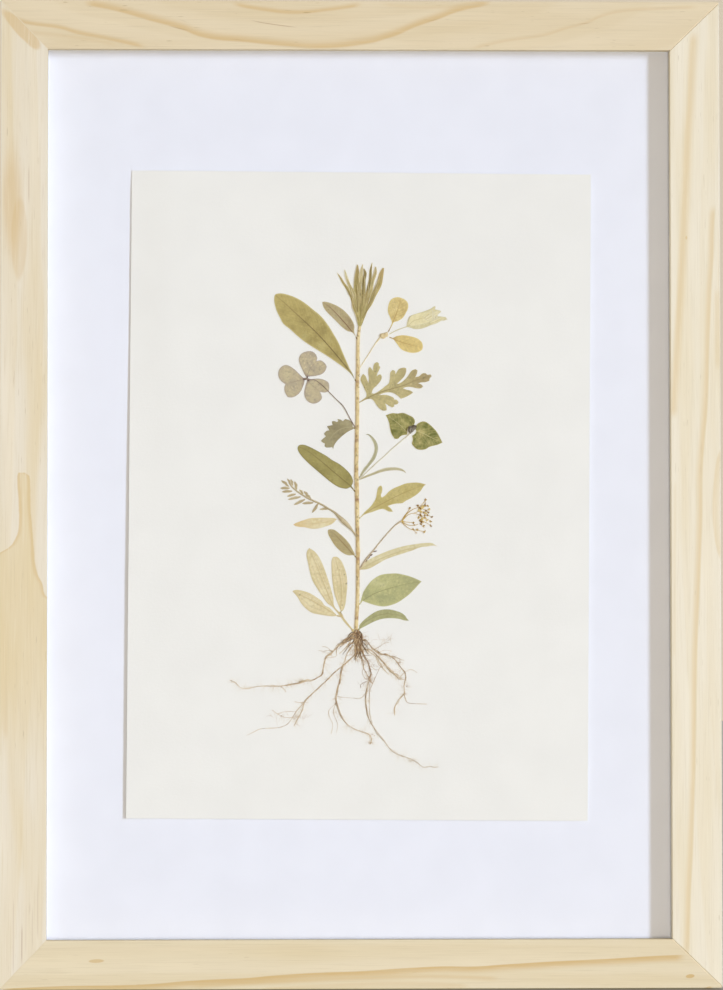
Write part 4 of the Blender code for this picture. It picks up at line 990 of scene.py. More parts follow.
single("narrow_leaf", [(360.8, 568.6), (374, 561.6), (394, 553.4), (414, 547.8), (437, 546.5)],
       leaf_look("leaf_narrow", (209, 194, 142), (220, 206, 154), (235, 225, 185), rib=(202, 187, 135),
                 half=(229, 218, 171), stripes=9, blotch=8, seed=19.5),
       "leaf_straw", foot=(358.8, 569.8, 0.8), step=0.36, cup=0.08, seed=19.0)
single("broad_leaf", [(359.8, 603.6), (363, 600.2), (374, 593.6), (390, 588), (406, 584), (421, 581.5)],
       leaf_look("leaf_broad", (170, 169, 117), (190, 187, 127), (204, 200, 143), rib=(152, 149, 95),
                 rib_width=0.15, rim=(205, 200, 146), veins=0.07, tip=(167, 164, 113), seed=20.4),
       "leaf_green", (2.5, 48, 1.2), foot=(358, 604.8, 0.5), step=0.45, cup=0.08, seed=20.0)
single("crescent_leaf", [(359, 628.9), (363.4, 623.2), (371, 618.4), (380, 614.6), (391, 613.8), (400, 616),
                         (408.2, 620.5)],
       leaf_look("leaf_crescent", (167, 164, 109), (178, 176, 121), (195, 190, 141), rib=(157, 152, 100),
                 half=(167, 164, 112), veins=0.15, blotch=4, seed=21.5),
       "leaf_green", (1.7, 42), foot=(357.2, 629.8, 0.8), step=0.38, seed=21.0)
for node, line, foot, specks, seed in (
        ("pale_sprig_middle", [(351.7, 629.5), (341.4, 616.4), (333, 605.4), (327, 592), (321, 577),
                               (315, 562), (309.2, 548.6)],
         (355, 632.6, 1.3), 0.0, 22.0),
        ("pale_sprig_right", [(339.5, 611.6), (341, 600), (341, 586), (338.6, 571), (334.8, 557.2)],
         (342.2, 616, 0.8), 0.62, 23.0),
        ("pale_sprig_left", [(336.6, 615.5), (328, 610), (318, 604), (306, 597.4), (292.4, 591.1)],
         (343, 617, 0.7), 0.1, 24.0)):
    single(node, line,
           leaf_look("leaf_" + node, (217, 201, 148), (228, 211, 162), (236, 223, 178), rib=(205, 183, 129),
                     rim=(215, 198, 144), rim_width=0.4, veins=0.10, vein=(215, 198, 144), blotch=8,
                     specks=specks, stripes=5, seed=seed),
           "leaf_straw", (2.0, 34, 0.6), foot=foot, step=0.42, cup=0.08, seed=seed)


# The tuft: narrow leaves that overlap at its foot

tuft = Shape()
blades = [      # how light the blade is, then its line
    (0.35, (359.2, 321, 1.0), (357, 313, 1.3), (353.5, 303, 1.4), (350.6, 295.5, 1.4), (347.2, 289, 1.4),
     (343.4, 282.4, 1.2), (340, 277.4, 0.9), (336.4, 272.6, 0.15)),
    (0.0, (345.8, 286, 0.5), (348.8, 292, 0.9), (351, 295.6, 0.7), (353.6, 298.2, 0.2)),
    (0.95, (357.6, 312, 1.0), (354.6, 303, 1.3), (351.4, 294, 1.2), (348.6, 284, 1.3), (346, 276.6, 1.3),
     (344.8, 269.6, 0.3)),
    (0.75, (355.6, 304, 0.7), (353.6, 293.6, 1.0), (350.2, 285.4, 0.9), (347.3, 279, 0.3)),
    (0.3, (359, 320, 1.5), (357.6, 311, 2.1), (356.2, 301, 2.3), (355.8, 290, 2.2), (356.4, 280, 2.2),
     (357.0, 271, 1.8), (357.3, 264.2, 0.4)),
    (0.8, (360, 316, 1.2), (359.4, 302, 1.5), (359.6, 289, 1.4), (360.6, 277, 1.7), (361.8, 270, 1.3),
     (362.3, 264, 0.3)),
    (0.1, (361, 318, 1.5), (361.8, 304, 1.8), (363, 292, 1.9), (364, 280, 1.7), (364.6, 273, 1.4),
     (363.7, 268, 0.4)),
    (0.0, (361.4, 299, 0.4), (361.1, 294, 0.9), (361.4, 289, 0.2)),
    (0.1, (361.8, 318, 1.1), (364.4, 305, 1.4), (367.2, 292, 1.4), (369.4, 280, 1.4), (371, 270, 1.2),
     (371.5, 262.4, 0.25)),
    (0.7, (362.2, 315, 1.1), (366.6, 302, 1.5), (370.2, 291, 1.5), (372.8, 281, 1.6), (374.8, 272.6, 1.4),
     (376, 266.4, 0.5)),
    (0.5, (360.6, 322, 1.2), (365, 312, 1.6), (369.4, 304, 1.9), (374.2, 294.6, 2.4), (378.6, 284, 2.6),
     (381.4, 274, 2.2), (382.8, 267.6, 0.9)),
    (0.15, (360.4, 320, 0.9), (366.4, 310.8, 1.0), (371, 303, 1.0), (374.4, 295, 0.9), (377, 288.4, 0.3)),
    (0.45, (360.4, 322, 1.6), (360.6, 313, 2.1), (362.4, 304, 1.7), (365, 296.4, 1.1), (368, 289, 0.3)),
    (0.9, (359.4, 321, 0.9), (356.4, 313, 1.1), (355, 306, 1.1), (354.2, 300, 0.4)),
    (0.4, (359.6, 325, 1.3), (356.4, 315, 1.5), (353.6, 306.6, 1.1), (351.8, 300, 0.3)),
    (0.25, (359.9, 325, 1.3), (364.4, 314.6, 1.4), (368, 306, 1.1), (371, 298.6, 0.3)),
    (0.75, (360.4, 318, 0.9), (363.6, 309, 1.0), (366.4, 300, 0.8), (367.4, 294, 0.2)),
    (0.6, (359.8, 326, 1.5), (360.4, 316, 2.2), (359.2, 306, 1.5), (359.8, 297, 0.3)),
]
drawn = len(blades)
for x0, y0, x1, y1 in ((357.6, 317, 351.4, 296), (358.4, 312, 356.6, 284), (359.2, 306, 358.4, 274),
                       (361.2, 310, 360.8, 284), (362.2, 306, 364.8, 276), (363.4, 310, 368.6, 284),
                       (364.6, 312, 372.4, 284), (366.4, 310, 377.4, 288), (354.8, 309, 349.2, 289),
                       (370.4, 300, 379.6, 276), (360.2, 320, 363.8, 298),
                       (356.4, 308, 355.2, 292)):
    blades.append((0.0, (x0, y0, 0.35), ((x0 + x1) / 2 + 0.5, (y0 + y1) / 2, 0.62), (x1, y1, 0.15)))
for i, (tone, *blade) in enumerate(blades):
    sway = lambda y: 0.45 * math.sin(0.35 * y + 2.1 * i)
    ring, line = ribbon([(x + sway(y), y, r) for x, y, r in blade])
    leaf(tuft, ring, line, step=0.36, lift=0.03 + 0.06 * ((i * 5) % 8) + (0.35 if i >= drawn else 0.0),
         cup=0.10, wave=0.15, ridge=0.08, thick=0.12, tone=tone, seed=30.0 + i)
tuft.finish("top_tuft_blades",
            leaf_look("leaf_tuft", (167, 152, 87), (192, 174, 107), (210, 191, 126), rib=(156, 137, 79),
                      rim=(219, 202, 144), rim_width=0.25, tip=(187, 158, 103), foot=(174, 161, 93),
                      blotch=2.5, stripes=3, shades=((105, 92, 46), (243, 235, 192)), seed=25.1),
            "leaf_olive", "top_tuft")

# The needle sprig: a stalk with rows of narrow leaflets

needles = Shape()
for i, (x0, y0, x1, y1, width) in enumerate((
        (288.6, 486.6, 281, 480.4, 1.2), (289.4, 488.2, 280, 488.3, 1.3), (292, 491.2, 281.7, 491.9, 1.3),
        (295.6, 494, 286.7, 496.6, 1.2), (300.3, 496.8, 287.7, 499.6, 1.3), (304.8, 499.4, 293.6, 505, 1.3),
        (313, 502.8, 301.8, 503.5, 1.3), (318, 503.6, 311.8, 512.9, 1.3), (329, 508.6, 319.2, 509.5, 1.1),
        (290.4, 485, 287.1, 478.7, 1.0), (292.3, 485.6, 290.6, 479.2, 1.0), (296.4, 489.6, 294.5, 481.4, 1.2),
        (302.8, 494, 299.1, 489.6, 1.0), (308, 496.9, 303.6, 491.2, 1.2), (310.8, 499.3, 305.9, 494.2, 1.1))):
    mid = ((x0 + x1) / 2 + 0.5, (y0 + y1) / 2 - 0.3)
    ring, line = ribbon([(x0, y0, 0.5), (x0 * .7 + x1 * .3, y0 * .7 + y1 * .3, width), (*mid, width * 1.1),
                         (x0 * .2 + x1 * .8, y0 * .2 + y1 * .8, width * 0.8), (x1, y1, 0.15)])
    leaf(needles, ring, line, step=0.3, lift=0.04 + 0.05 * (i % 3), cup=0.08, wave=0.06, ridge=0.06,
         thick=0.14, seed=40.0 + i)
tube(needles, [(356.6, 537.4, 0.8), (354.6, 534.2, 0.8), (351.8, 530.2, 1.0), (347.8, 525.6, 1.9),
               (343, 520.9, 2.3), (338.6, 516.6, 1.6), (334, 512.2, 1.0), (328.7, 509, 0.9),
               (319.9, 503.8, 0.9), (311.1, 499.9, 0.9), (305.2, 496.8, 0.8), (299.3, 492.9, 0.8),
               (294.6, 489.4, 0.7), (290.9, 485.8, 0.6), (289, 482.6, 0.3)],
     lift=0.1, flat=0.55, seed=41)
needles.finish("needle_sprig_fine",
               leaf_look("leaf_needles", (180, 162, 123), (200, 183, 142), (219, 204, 164),
                         rib=(180, 161, 117), half=(186, 169, 129), blotch=4, seed=26.4),
               "leaf_brown", "needle_sprig")


# Stalks

stem_path = [(360.6, 314, 0.8), (360.0, 319, 1.2), (359.5, 323.6, 1.5), (358.5, 331, 1.5), (357.6, 340, 1.7),
             (357.4, 355, 1.8), (357.5, 368, 1.9), (357.0, 380, 1.9), (356.9, 398, 1.9), (356.9, 415, 1.9),
             (356.6, 429, 1.9), (356.1, 451, 2.0), (355.8, 475, 2.0), (356.0, 478, 2.2), (356.4, 492, 2.0),
             (356.7, 514, 2.0), (356.9, 531, 1.9), (357.3, 547, 1.9), (357.5, 551, 2.2), (357.3, 556, 1.9),
             (357.2, 585, 1.8), (356.9, 602, 1.8), (356.1, 616, 1.8),
             (355.4, 629.5, 1.8)]
stem = Shape()
tube(stem, [(x + 0.3, y, 0.98 * r) for x, y, r in stem_path], flat=0.34, sides=18, step=0.4, rough=0.10,
     grooves=6, seed=50)
rng = random.Random(12)
hairs = []
for x, y, r in spline(stem_path, 2.2):
    for side in (-1, 1):
        if rng.random() < 0.8:
            hairs.append((x + side * r * 0.9, y + rng.uniform(-1, 1), 0 if side > 0 else 180))
wisps(stem, hairs, 13, length=(0.3, 0.8), radius=0.03, spread=55, lift=0.15)
stem.finish("main_stem_fine",
            stalk_look("stalk_main", (204, 173, 116), (230, 207, 150), (243, 226, 176), flank_shade=-0.35,
                       joints=27.0, joint=(150, 106, 76), spots=0.60, seed=31.0),
            "dry_stalk", "main_stem")

sprig = Shape()
tube(sprig, [(358.8, 369, 0.5), (361.0, 365.6, 0.5), (364.6, 360, 0.5), (367.8, 355.1, 0.5),
             (373.5, 346.1, 0.55), (379, 338.6, 0.8),
             (381.6, 336.8, 1.1)], lift=0.05, flat=0.5, seed=51)
for x, y, long, wide, turn, tone in ((382.2, 335.4, 2.6, 2.0, 40, 0.7), (385.4, 335.0, 2.6, 2.2, -5, 0.3),
                                     (383.6, 337.2, 2.2, 1.4, 20, 0.9), (386.6, 333.4, 1.6, 1.1, 60, 0.2)):
    bud(sprig, x, y, long, wide, turn, tone=tone, seed=x)
sprig.finish("sprig_stalk_fine", stalk_look("stalk_sprig", (226, 208, 160), (236, 222, 180), (244, 234, 202),
                                            spots=0.9,
                                            flank_shade=0.2, knot=(222, 198, 142), seed=32.0), "dry_stalk",
             "sprig_stalk")

clover = Shape()
tube(clover, [(303.2, 378.4, 0.5), (306.4, 379.0, 0.93), (309.6, 379.5, 0.5), (313.4, 379.8, 0.37),
              (317.5, 381.7, 0.37), (322.8, 386.1, 0.37), (328.7, 391.9, 0.37), (335.7, 399, 0.37),
              (342.8, 406, 0.43), (347.5, 414.2, 0.4), (351.4, 421.6, 0.43), (354.4, 426.4, 0.43),
              (356.4, 429, 0.4)], lift=0.22,
     flat=0.6, seed=52)
for turn in (70, 195, 320):
    x, y = 306.4 + 2.0 * math.cos(math.radians(turn)), 379.0 - 2.0 * math.sin(math.radians(turn))
    bud(clover, x, y, 1.7, 0.6, turn, lift=0.2, lobes=2, tone=0.2, seed=turn)
clover.finish("clover_stalk_fine", stalk_look("stalk_clover", (114, 94, 80), (146, 124, 106), (172, 154, 130),
                                              flank_shade=0.3, knot=(92, 72, 66), seed=33.0), "dry_stalk",
              "clover_stalk")

pair = Shape()
tube(pair, [(358.2, 480, 0.5), (360.9, 477.8, 0.48), (368, 471, 0.45), (375.4, 464, 0.48),
            (384, 456.4, 0.45), (392.4, 448.5, 0.45), (401, 441.2, 0.45), (408.6, 434.6, 0.6),
            (410.4, 432.4, 0.9)], lift=0.2, flat=0.6, seed=53)
bud(pair, 411.0, 429.4, 3.7, 3.0, 35, lift=0.3, lobes=5, deep=0.22, tall=0.55, tone=0.15, seed=5.5)
bud(pair, 413.6, 427.4, 2.9, 2.2, 20, lift=0.3, lobes=4, tone=0.3, seed=6.5)
bud(pair, 410.2, 432.4, 1.5, 1.1, 60, lift=0.3, lobes=4, tone=0.5, seed=7.5)
pair.finish("folded_leaf_stalk_fine", stalk_look("stalk_folded", (212, 202, 168), (224, 216, 186),
                                                 (234, 228, 206), spots=0.9,
                                                 flank_shade=0.2, knot=(58, 38, 14), seed=34.0), "dry_stalk",
            "folded_leaf_stalk")

umbel = Shape()
tube(umbel, [(359, 569.4, 0.6), (361.2, 566.2, 0.73), (363.3, 563, 0.79), (365.3, 560, 0.79),
             (368.2, 556.4, 0.86), (370.4, 553.6, 0.66), (373.9, 549.7, 0.59), (379.7, 542.2, 0.53),
             (386, 534.8, 0.53), (392.3, 527.9, 0.53), (396.9, 523.9, 0.66),
             (400.6, 521.5, 0.92)], lift=0.18, flat=0.7, seed=54)
for x, y, long, wide, turn in ((368.4, 557.4, 2.4, 0.8, 50), (366.2, 560.2, 2.2, 0.7, 55),
                               (374.8, 551.4, 2.0, 0.6, 15),
                               (370.4, 555.2, 2.0, 0.9, 20)):
    bud(umbel, x, y, long, wide, turn, lift=0.18, lobes=3, tone=0.2, seed=x)
umbel.finish("umbel_stalk_fine", stalk_look("stalk_umbel", (178, 158, 122), (204, 184, 148), (222, 206, 172),
                                            flank_shade=0.3, knot=(100, 76, 62), seed=35.0), "dry_stalk",
             "umbel_stalk")

head = Shape()
for i, ray in enumerate((
        [(401.8, 520.2, 0.5), (403.8, 516.4, 0.35), (407, 512.4, 0.3), (409.2, 508.9, 0.3)],
        [(402, 520, 0.7), (406.7, 513.8, 0.5), (412.4, 509.6, 0.4), (417, 507.8, 0.3)],
        [(402.4, 520.2, 0.5), (407.8, 515, 0.34), (413, 513.4, 0.3), (418.1, 514.4, 0.3)],
        [(402.6, 521.8, 0.5), (409.5, 522.4, 0.3), (413, 522.7, 0.3)],
        [(402.4, 522.6, 0.5), (408.4, 525.2, 0.32), (413, 525.6, 0.3), (417.6, 524.4, 0.3)],
        [(402.2, 523, 0.5), (406.7, 527.2, 0.32), (410.7, 529.4, 0.3), (417, 530.4, 0.3), (423, 531.6, 0.25)],
        [(413, 513.4, 0.3), (419, 511, 0.3), (424.4, 505.6, 0.3), (425.2, 500.4, 0.25)],
        [(417, 507.8, 0.3), (421, 508.4, 0.3), (427.6, 511.6, 0.25)],
        [(417.6, 508.4, 0.3), (422, 504.4, 0.3), (425.2, 500.4, 0.25)],
        [(420, 512, 0.25), (426, 514.4, 0.25), (431.4, 517, 0.2)],
        [(420, 520, 0.25), (426.2, 523, 0.25), (430.6, 525.8, 0.2)],
        [(412.8, 529.4, 0.25), (414.6, 531.6, 0.2), (415.9, 533.2, 0.2)],
        [(418.1, 514.4, 0.3), (424.4, 518, 0.3), (430.4, 520.8, 0.2)])):
    tube(head, [(x, y, 0.8 * r) for x, y, r in ray], lift=0.08 + 0.05 * (i % 3), flat=0.8, sides=7, step=0.3,
         rough=0.2, seed=60 + i, fields=dict(along=0.5, side=0.0, edge=0.5, rib=0.55, vein=0.0))
rng = random.Random(21)
for i, (x, y, size, tone) in enumerate((
        (425.2, 499.6, 1.1, 0.2), (409.5, 508.1, 1.1, 0.3), (417.6, 505.8, 1.2, 0.15),
                                        (424.5, 505.3, 1.3, 0.05),
        (422.0, 507.2, 1.5, 0.9), (427.6, 505.8, 1.0, 0.55), (419.8, 508.3, 1.3, 0.1),
                                        (419.0, 510.2, 1.4, 0.8),
        (420.9, 512, 1.3, 0.85), (425.6, 513.3, 1.3, 1.0), (423.6, 512.4, 0.9, 0.15),
                                        (427.8, 512.6, 0.9, 0.2),
        (424.4, 515.4, 1.0, 0.15), (427.4, 515.4, 0.9, 0.1), (425.8, 510.6, 1.0, 0.1),
                                        (428.7, 509.4, 1.1, 0.85),
        (420.3, 515.3, 1.4, 0.1), (424.8, 518, 1.1, 0.6), (431.7, 517, 0.9, 0.2), (422, 518.9, 1.3, 0.8),
        (420.2, 520.3, 1.3, 0.25), (421.2, 521.9, 1.2, 0.0), (430.3, 521.4, 1.0, 0.4),
                                        (426.6, 520.6, 1.0, 0.95),
        (420.6, 524.2, 1.1, 0.2), (423.1, 526.1, 1.1, 0.3), (430.6, 525.8, 1.0, 0.1),
                                        (413.1, 522.8, 1.0, 0.35),
        (412.8, 529.4, 1.0, 0.35), (417, 529.6, 1.0, 0.4), (414.2, 524.9, 0.7, 0.4), (424.2, 531.7, 1.1, 0.4),
        (418.6, 517.6, 1.2, 0.5), (422.8, 522.2, 1.0, 0.7), (415.9, 533, 0.6, 0.6),
                                        (401.9, 521.4, 1.4, 0.55))):
    for k in range(4):
        turn = 90 * k + rng.uniform(-35, 35)
        far = size * rng.uniform(0.35, 0.8)
        bud(head, x + far * math.cos(math.radians(turn)), y - far * math.sin(math.radians(turn)), size * 0.76,
            size * 0.46, turn, lift=0.08 + 0.07 * (k % 3), lobes=3, deep=0.25, tall=0.6,
            tone=min(1.0, max(0.0, tone + rng.uniform(-0.22, 0.22))), seed=0.7 * i + k, fine=2)
    wisps(head, [(x, y, 90 * k) for k in range(3)], 200 + i, length=(0.5, 0.9), radius=0.03, spread=60,
          lift=0.15)
head.finish("umbel_head_fine", bud_look("bud_umbel", (135, 97, 45), (195, 161, 84), (227, 202, 128),
                                        seed=36.0),
            "leaf_brown", "umbel_head")


# Roots

root_tones = dict(dark=(172, 142, 104), mid=(206, 181, 143), light=(228, 212, 180))


def root(node, main, branches=(), fuzz=8, seed=1, run=2, tones=None, tufts=()):
    """One main root of a few strands, with its side roots, fine rootlets and tufts of hair at
    (x, y, how many, reach in mm)."""
    shape = Shape()
    rng = random.Random(seed)
    for i, path in enumerate((main, *branches)):
        tube(shape, [(x, y, 0.05 + 0.40 * r) for x, y, r in path], lift=0.04 * (i > 0), flat=0.75,
             sides=9, step=0.35, rough=0.5, wobble=0.16, seed=seed + 3 * i, tone=0.45 if i == 0 else 0.7)
        for k in range(2 if i == 0 else 1):
            aside = [(x + rng.uniform(-1, 1) * (0.3 + 0.75 * r), y + rng.uniform(-1, 1) * (0.3 + 0.75 * r),
                      0.10 + 0.14 * r) for x, y, r in path]
            tube(shape, aside, lift=0.03 * k, flat=0.75, sides=6, step=0.4, rough=0.4, wobble=0.2,
                 seed=seed + 20 + i + 5 * k, tone=rng.choice((0.15, 0.6, 0.9)))
    starts = []
    line = spline(main, 1.2)
    for _ in range(4 * fuzz):
        k = rng.randrange(2, len(line) - 2)
        way = math.degrees(math.atan2(*(line[k + 1] - line[k - 1])[[1, 0]]))
        starts.append((line[k][0], line[k][1], way + rng.choice((-55, 55))))
    wisps(shape, starts, seed + 1, length=(0.8, 4.5), radius=0.045, spread=38, tone=0.8)
    for x, y, count, reach in tufts:
        hair = [(x + rng.gauss(0, 1) * reach, y + rng.gauss(0, 1) * 0.4,
                 rng.uniform(0, 360)) for _ in range(count)]
        wisps(shape, hair, seed + 2, length=(0.3 * reach, reach), radius=0.05, spread=40, tone=0.6)
    shape.finish(node + "_fine", stalk_look("bark_" + node, *(tones or root_tones).values(), run=run,
                                            flank_shade=0.2, pale_end=0.6, seed=40.0 + seed), "dry_root", node)


root("root_left",
     [(350.6, 640.0, 1.3), (346.4, 641.2, 1.3), (342, 643.4, 1.4), (338.5, 645.2, 1.2), (335.6, 648.4, 1.1),
      (329.7, 653.8, 1.2), (326.2, 656.8, 1.1), (324.3, 662.2, 1.0), (323.1, 667.9, 0.9), (322.1, 674.3, 0.8),
      (317, 677.6, 0.8), (311.7, 679.9, 0.8), (305.5, 680.2, 1.2), (301.5, 681.4, 1.3), (296, 683, 0.9),
      (290.2, 683.9, 0.8), (280.6, 685.5, 0.8), (272, 685.8, 0.6), (263.9, 685.9, 0.5), (254.3, 686.7, 0.5),
      (247.5, 688.5, 0.45), (242, 687.4, 0.4), (238.7, 685.9, 0.4), (235.5, 682.3, 0.45),
      (229.8, 679.6, 0.35)],
     [[(336.6, 647.6, 0.5), (336.4, 651, 0.6), (335.8, 655.3, 0.4)],
      [(326, 657.5, 0.5), (330.6, 657.4, 0.35), (335.5, 656.5, 0.25)],
      [(333, 650.6, 0.35), (328, 650.2, 0.25), (323, 651, 0.2), (318.6, 650.2, 0.15)],
      [(331.6, 651.6, 0.3), (326.4, 647.2, 0.2), (321.8, 645.8, 0.15)],
      [(280.6, 685.5, 0.4), (284, 688.6, 0.25), (286, 691.5, 0.2)]], fuzz=22,
     tufts=((302, 681, 30, 2.2), (288, 684, 14, 2.4), (274, 685.6, 10, 2.0), (329, 653, 14, 3.0),
            (344, 642.6, 16, 2.6)),
     seed=70, run=0)
root("root_lower_left",
     [(355.3, 645.4, 1.1), (355.2, 650, 1.1), (354.8, 654.4, 1.0), (351.1, 657.6, 0.9), (346.5, 661.8, 0.9),
      (343.4, 664.3, 1.3), (340.4, 666.9, 0.9), (337.3, 669.5, 0.9), (329.7, 676.7, 1.0), (318.1, 687.8, 0.9),
      (310.4, 695.4, 0.8), (304.4, 701.5, 1.0), (302.9, 705.6, 0.9), (302.1, 709.4, 0.8), (298, 717.4, 0.7),
      (293.4, 725.3, 0.35)],
     [[(303, 703, 0.5), (296, 711.4, 0.5), (287.8, 722.9, 0.45), (281.8, 726, 0.4), (275.8, 727.3, 0.4),
       (259.9, 728.5, 0.35), (253.4, 731.4, 0.3), (247.2, 734.8, 0.25)],
      [(304, 702, 0.4), (299, 702.2, 0.3), (294, 701, 0.2)],
      [(352.6, 645, 0.7), (348, 651.5, 0.6), (345.7, 656.4, 0.6), (344.2, 662.2, 0.6)],
      [(350.4, 641.4, 0.6), (345, 648, 0.5), (339.2, 653.4, 0.35)],
      [(296, 711.4, 0.25), (286, 711, 0.18), (276, 713.4, 0.15)],
      [(292, 717, 0.25), (283, 716.6, 0.18), (272, 709.6, 0.15)]], fuzz=18,
     tufts=((303, 702, 16, 2.0), (297, 717, 26, 3.6), (277, 715, 12, 4.6), (344, 664, 12, 2.0)),
     seed=72)
root("root_hanging",
     [(343.0, 665.2, 0.9), (341.4, 669.6, 1.0), (340.4, 676, 1.2), (339.3, 681.1, 1.3), (337.8, 686.4, 1.3),
      (336.6, 690.6, 1.2), (335.9, 699.6, 1.1), (337.7, 706.6, 1.0), (341.1, 715.5, 0.8), (344.2, 720.6, 0.7),
      (347.4, 724.4, 0.6), (355.1, 728.9, 0.5), (363.4, 731.5, 0.6), (367.4, 733.2, 0.8), (369.6, 735.4, 0.9),
      (371, 739.1, 0.8), (369.6, 743.6, 0.5)],
     [[(335.9, 700.4, 0.4), (334.7, 703.4, 0.3), (330.6, 707.6, 0.25), (328.3, 711, 0.25),
       (328.9, 716.1, 0.25), (332.1, 723.8, 0.2),
       (330.8, 733.2, 0.15)],
      [(335.8, 702.4, 0.35), (333.4, 708.4, 0.3), (333.1, 713, 0.25), (337.2, 724.4, 0.2),
       (335.6, 732, 0.15)],
      [(337, 696, 0.35), (345, 697.2, 0.25), (353, 697.8, 0.2), (360, 697.5, 0.2), (366, 692, 0.2)],
      [(369.4, 735, 0.5), (372.4, 734.4, 0.35), (374.6, 735.6, 0.2)]], fuzz=20,
     tufts=((370, 742, 18, 1.5), (336.4, 698, 16, 2.0), (340.4, 676, 12, 1.6), (335, 712, 10, 2.6)),
     seed=74)
root("root_central",
     [(363.0, 654.6, 0.9), (365.6, 658.6, 0.9), (367.5, 662.6, 0.85), (369.5, 667.9, 0.8),
      (370.5, 672.4, 0.85), (370.2, 675.6, 1.0), (368.8, 678.7, 1.7), (370.6, 681.6, 0.8),
      (371.8, 683.4, 0.4)],
     [[(358.9, 653.8, 0.8), (362.2, 660.3, 0.7), (363.3, 667.9, 0.65), (365.2, 671.8, 0.7),
       (368.5, 678, 0.9)],
      [(363.3, 667.9, 0.3), (361.8, 671.8, 0.25), (363, 675.6, 0.2), (365, 679, 0.2)],
      [(366.6, 681.4, 0.4), (362.6, 682.8, 0.3), (360.2, 685, 0.25), (360.5, 687.5, 0.2)],
      [(364.1, 654.9, 0.35), (368, 655.2, 0.3), (371.8, 654.5, 0.25)],
      [(378.3, 669.8, 0.25), (375.6, 675.6, 0.2), (372.3, 683.6, 0.2), (368.7, 692.3, 0.18)]],
     fuzz=14, tufts=((368.8, 679, 22, 2.2), (362, 683.6, 10, 2.6), (365, 660, 12, 2.0), (371, 666, 10, 2.2)),
     seed=76, tones=dict(dark=(126, 99, 73), mid=(172, 144, 112), light=(206, 182, 148)))
root("root_long",
     [(367.9, 681.0, 0.8), (366.6, 689, 0.9), (365.6, 698.3, 0.9), (366.2, 707, 0.85), (367.3, 714.2, 0.85),
      (370.4, 721.9, 0.85), (376.1, 730.8, 0.7), (383.8, 741, 0.65), (387, 745.2, 0.65), (390.2, 749.2, 0.65),
      (395.4, 753, 0.6), (400.5, 755.4, 0.55), (408.2, 757.6, 0.5), (416, 762.3, 0.45), (422.9, 766.4, 0.35),
      (428.9, 765.8, 0.3), (434.1, 767, 0.3), (438.2, 766.3, 0.25)],
     [[(369.3, 684, 0.35), (369.1, 693.8, 0.35), (369.0, 704, 0.35), (369.3, 714.2, 0.35),
       (371.4, 722.6, 0.35)]],
     fuzz=16, tufts=((370, 700, 10, 3.0), (412, 760, 14, 1.6), (368, 690, 8, 2.0)),
     seed=78, tones=dict(dark=(186, 163, 130), mid=(213, 194, 163), light=(230, 217, 191)))
root("root_right",
     [(363.4, 648.4, 0.9), (367, 649.0, 0.9), (370.8, 650.2, 1.0), (374, 652.8, 1.0), (376.9, 655.4, 1.1),
      (381.4, 660.1, 1.1), (385.5, 665.2, 1.4), (388.2, 668.6, 1.7), (390.9, 671.2, 1.9), (395.7, 675.2, 1.9),
      (399.2, 678.1, 1.4), (403.0, 679.6, 0.5)],
     [[(367, 650.6, 0.5), (375.6, 656.6, 0.8), (379.6, 663.3, 0.9), (383, 668.6, 0.8), (388, 674, 0.5)],
      [(380.2, 666, 0.3), (378.3, 669.1, 0.25), (374.8, 669.5, 0.2), (372.9, 668.3, 0.2)],
      [(371, 650.6, 0.3), (378, 647, 0.22), (385, 642.6, 0.18), (388.4, 642.4, 0.15)],
      [(378, 652, 0.3), (384, 650, 0.2), (391.6, 651, 0.15)],
      [(399, 677.6, 0.3), (404, 672, 0.2), (410, 669.4, 0.18), (416.6, 672.6, 0.15)]],
     fuzz=16, tufts=((391, 671, 14, 1.8), (399, 677.6, 12, 1.8), (383, 664, 10, 2.0), (386, 640, 16, 4.2)),
     seed=80, tones=dict(dark=(174, 146, 111), mid=(209, 185, 148), light=(226, 210, 178)))
root("root_far_right",
     [(361.6, 638.9, 0.5), (364.4, 639.2, 0.5), (366.8, 640.8, 0.6), (369.5, 645, 0.7), (371.8, 648, 0.9),
      (377.5, 651.9, 1.2), (381.4, 653.5, 1.25), (385.5, 654.8, 1.2), (390.9, 656.6, 1.1), (395.7, 661, 0.8),
      (399.9, 666.5, 0.7), (404, 671.8, 0.8), (405.3, 677.0, 1.0), (404.4, 681.5, 0.8), (403.7, 687.8, 0.7),
      (403.4, 693.2, 0.8), (400.4, 697.4, 0.8), (397.2, 701, 0.8), (394.2, 708, 0.9), (394.5, 714.9, 0.6)],
     [[(390.9, 656.3, 0.6), (395.7, 657.2, 0.5), (399.2, 659.1, 0.4), (403.7, 660.1, 0.25)],
      [(403.4, 693.2, 0.5), (404.8, 698.6, 0.45), (406.8, 702, 0.45), (411.7, 703.3, 0.4), (419, 703.4, 0.3),
       (426.3, 703.7, 0.25)]],
     fuzz=18, tufts=((404, 686, 12, 2.0), (403.4, 694, 16, 1.6), (400, 663, 12, 2.6), (392, 657, 12, 2.0)),
     seed=82)

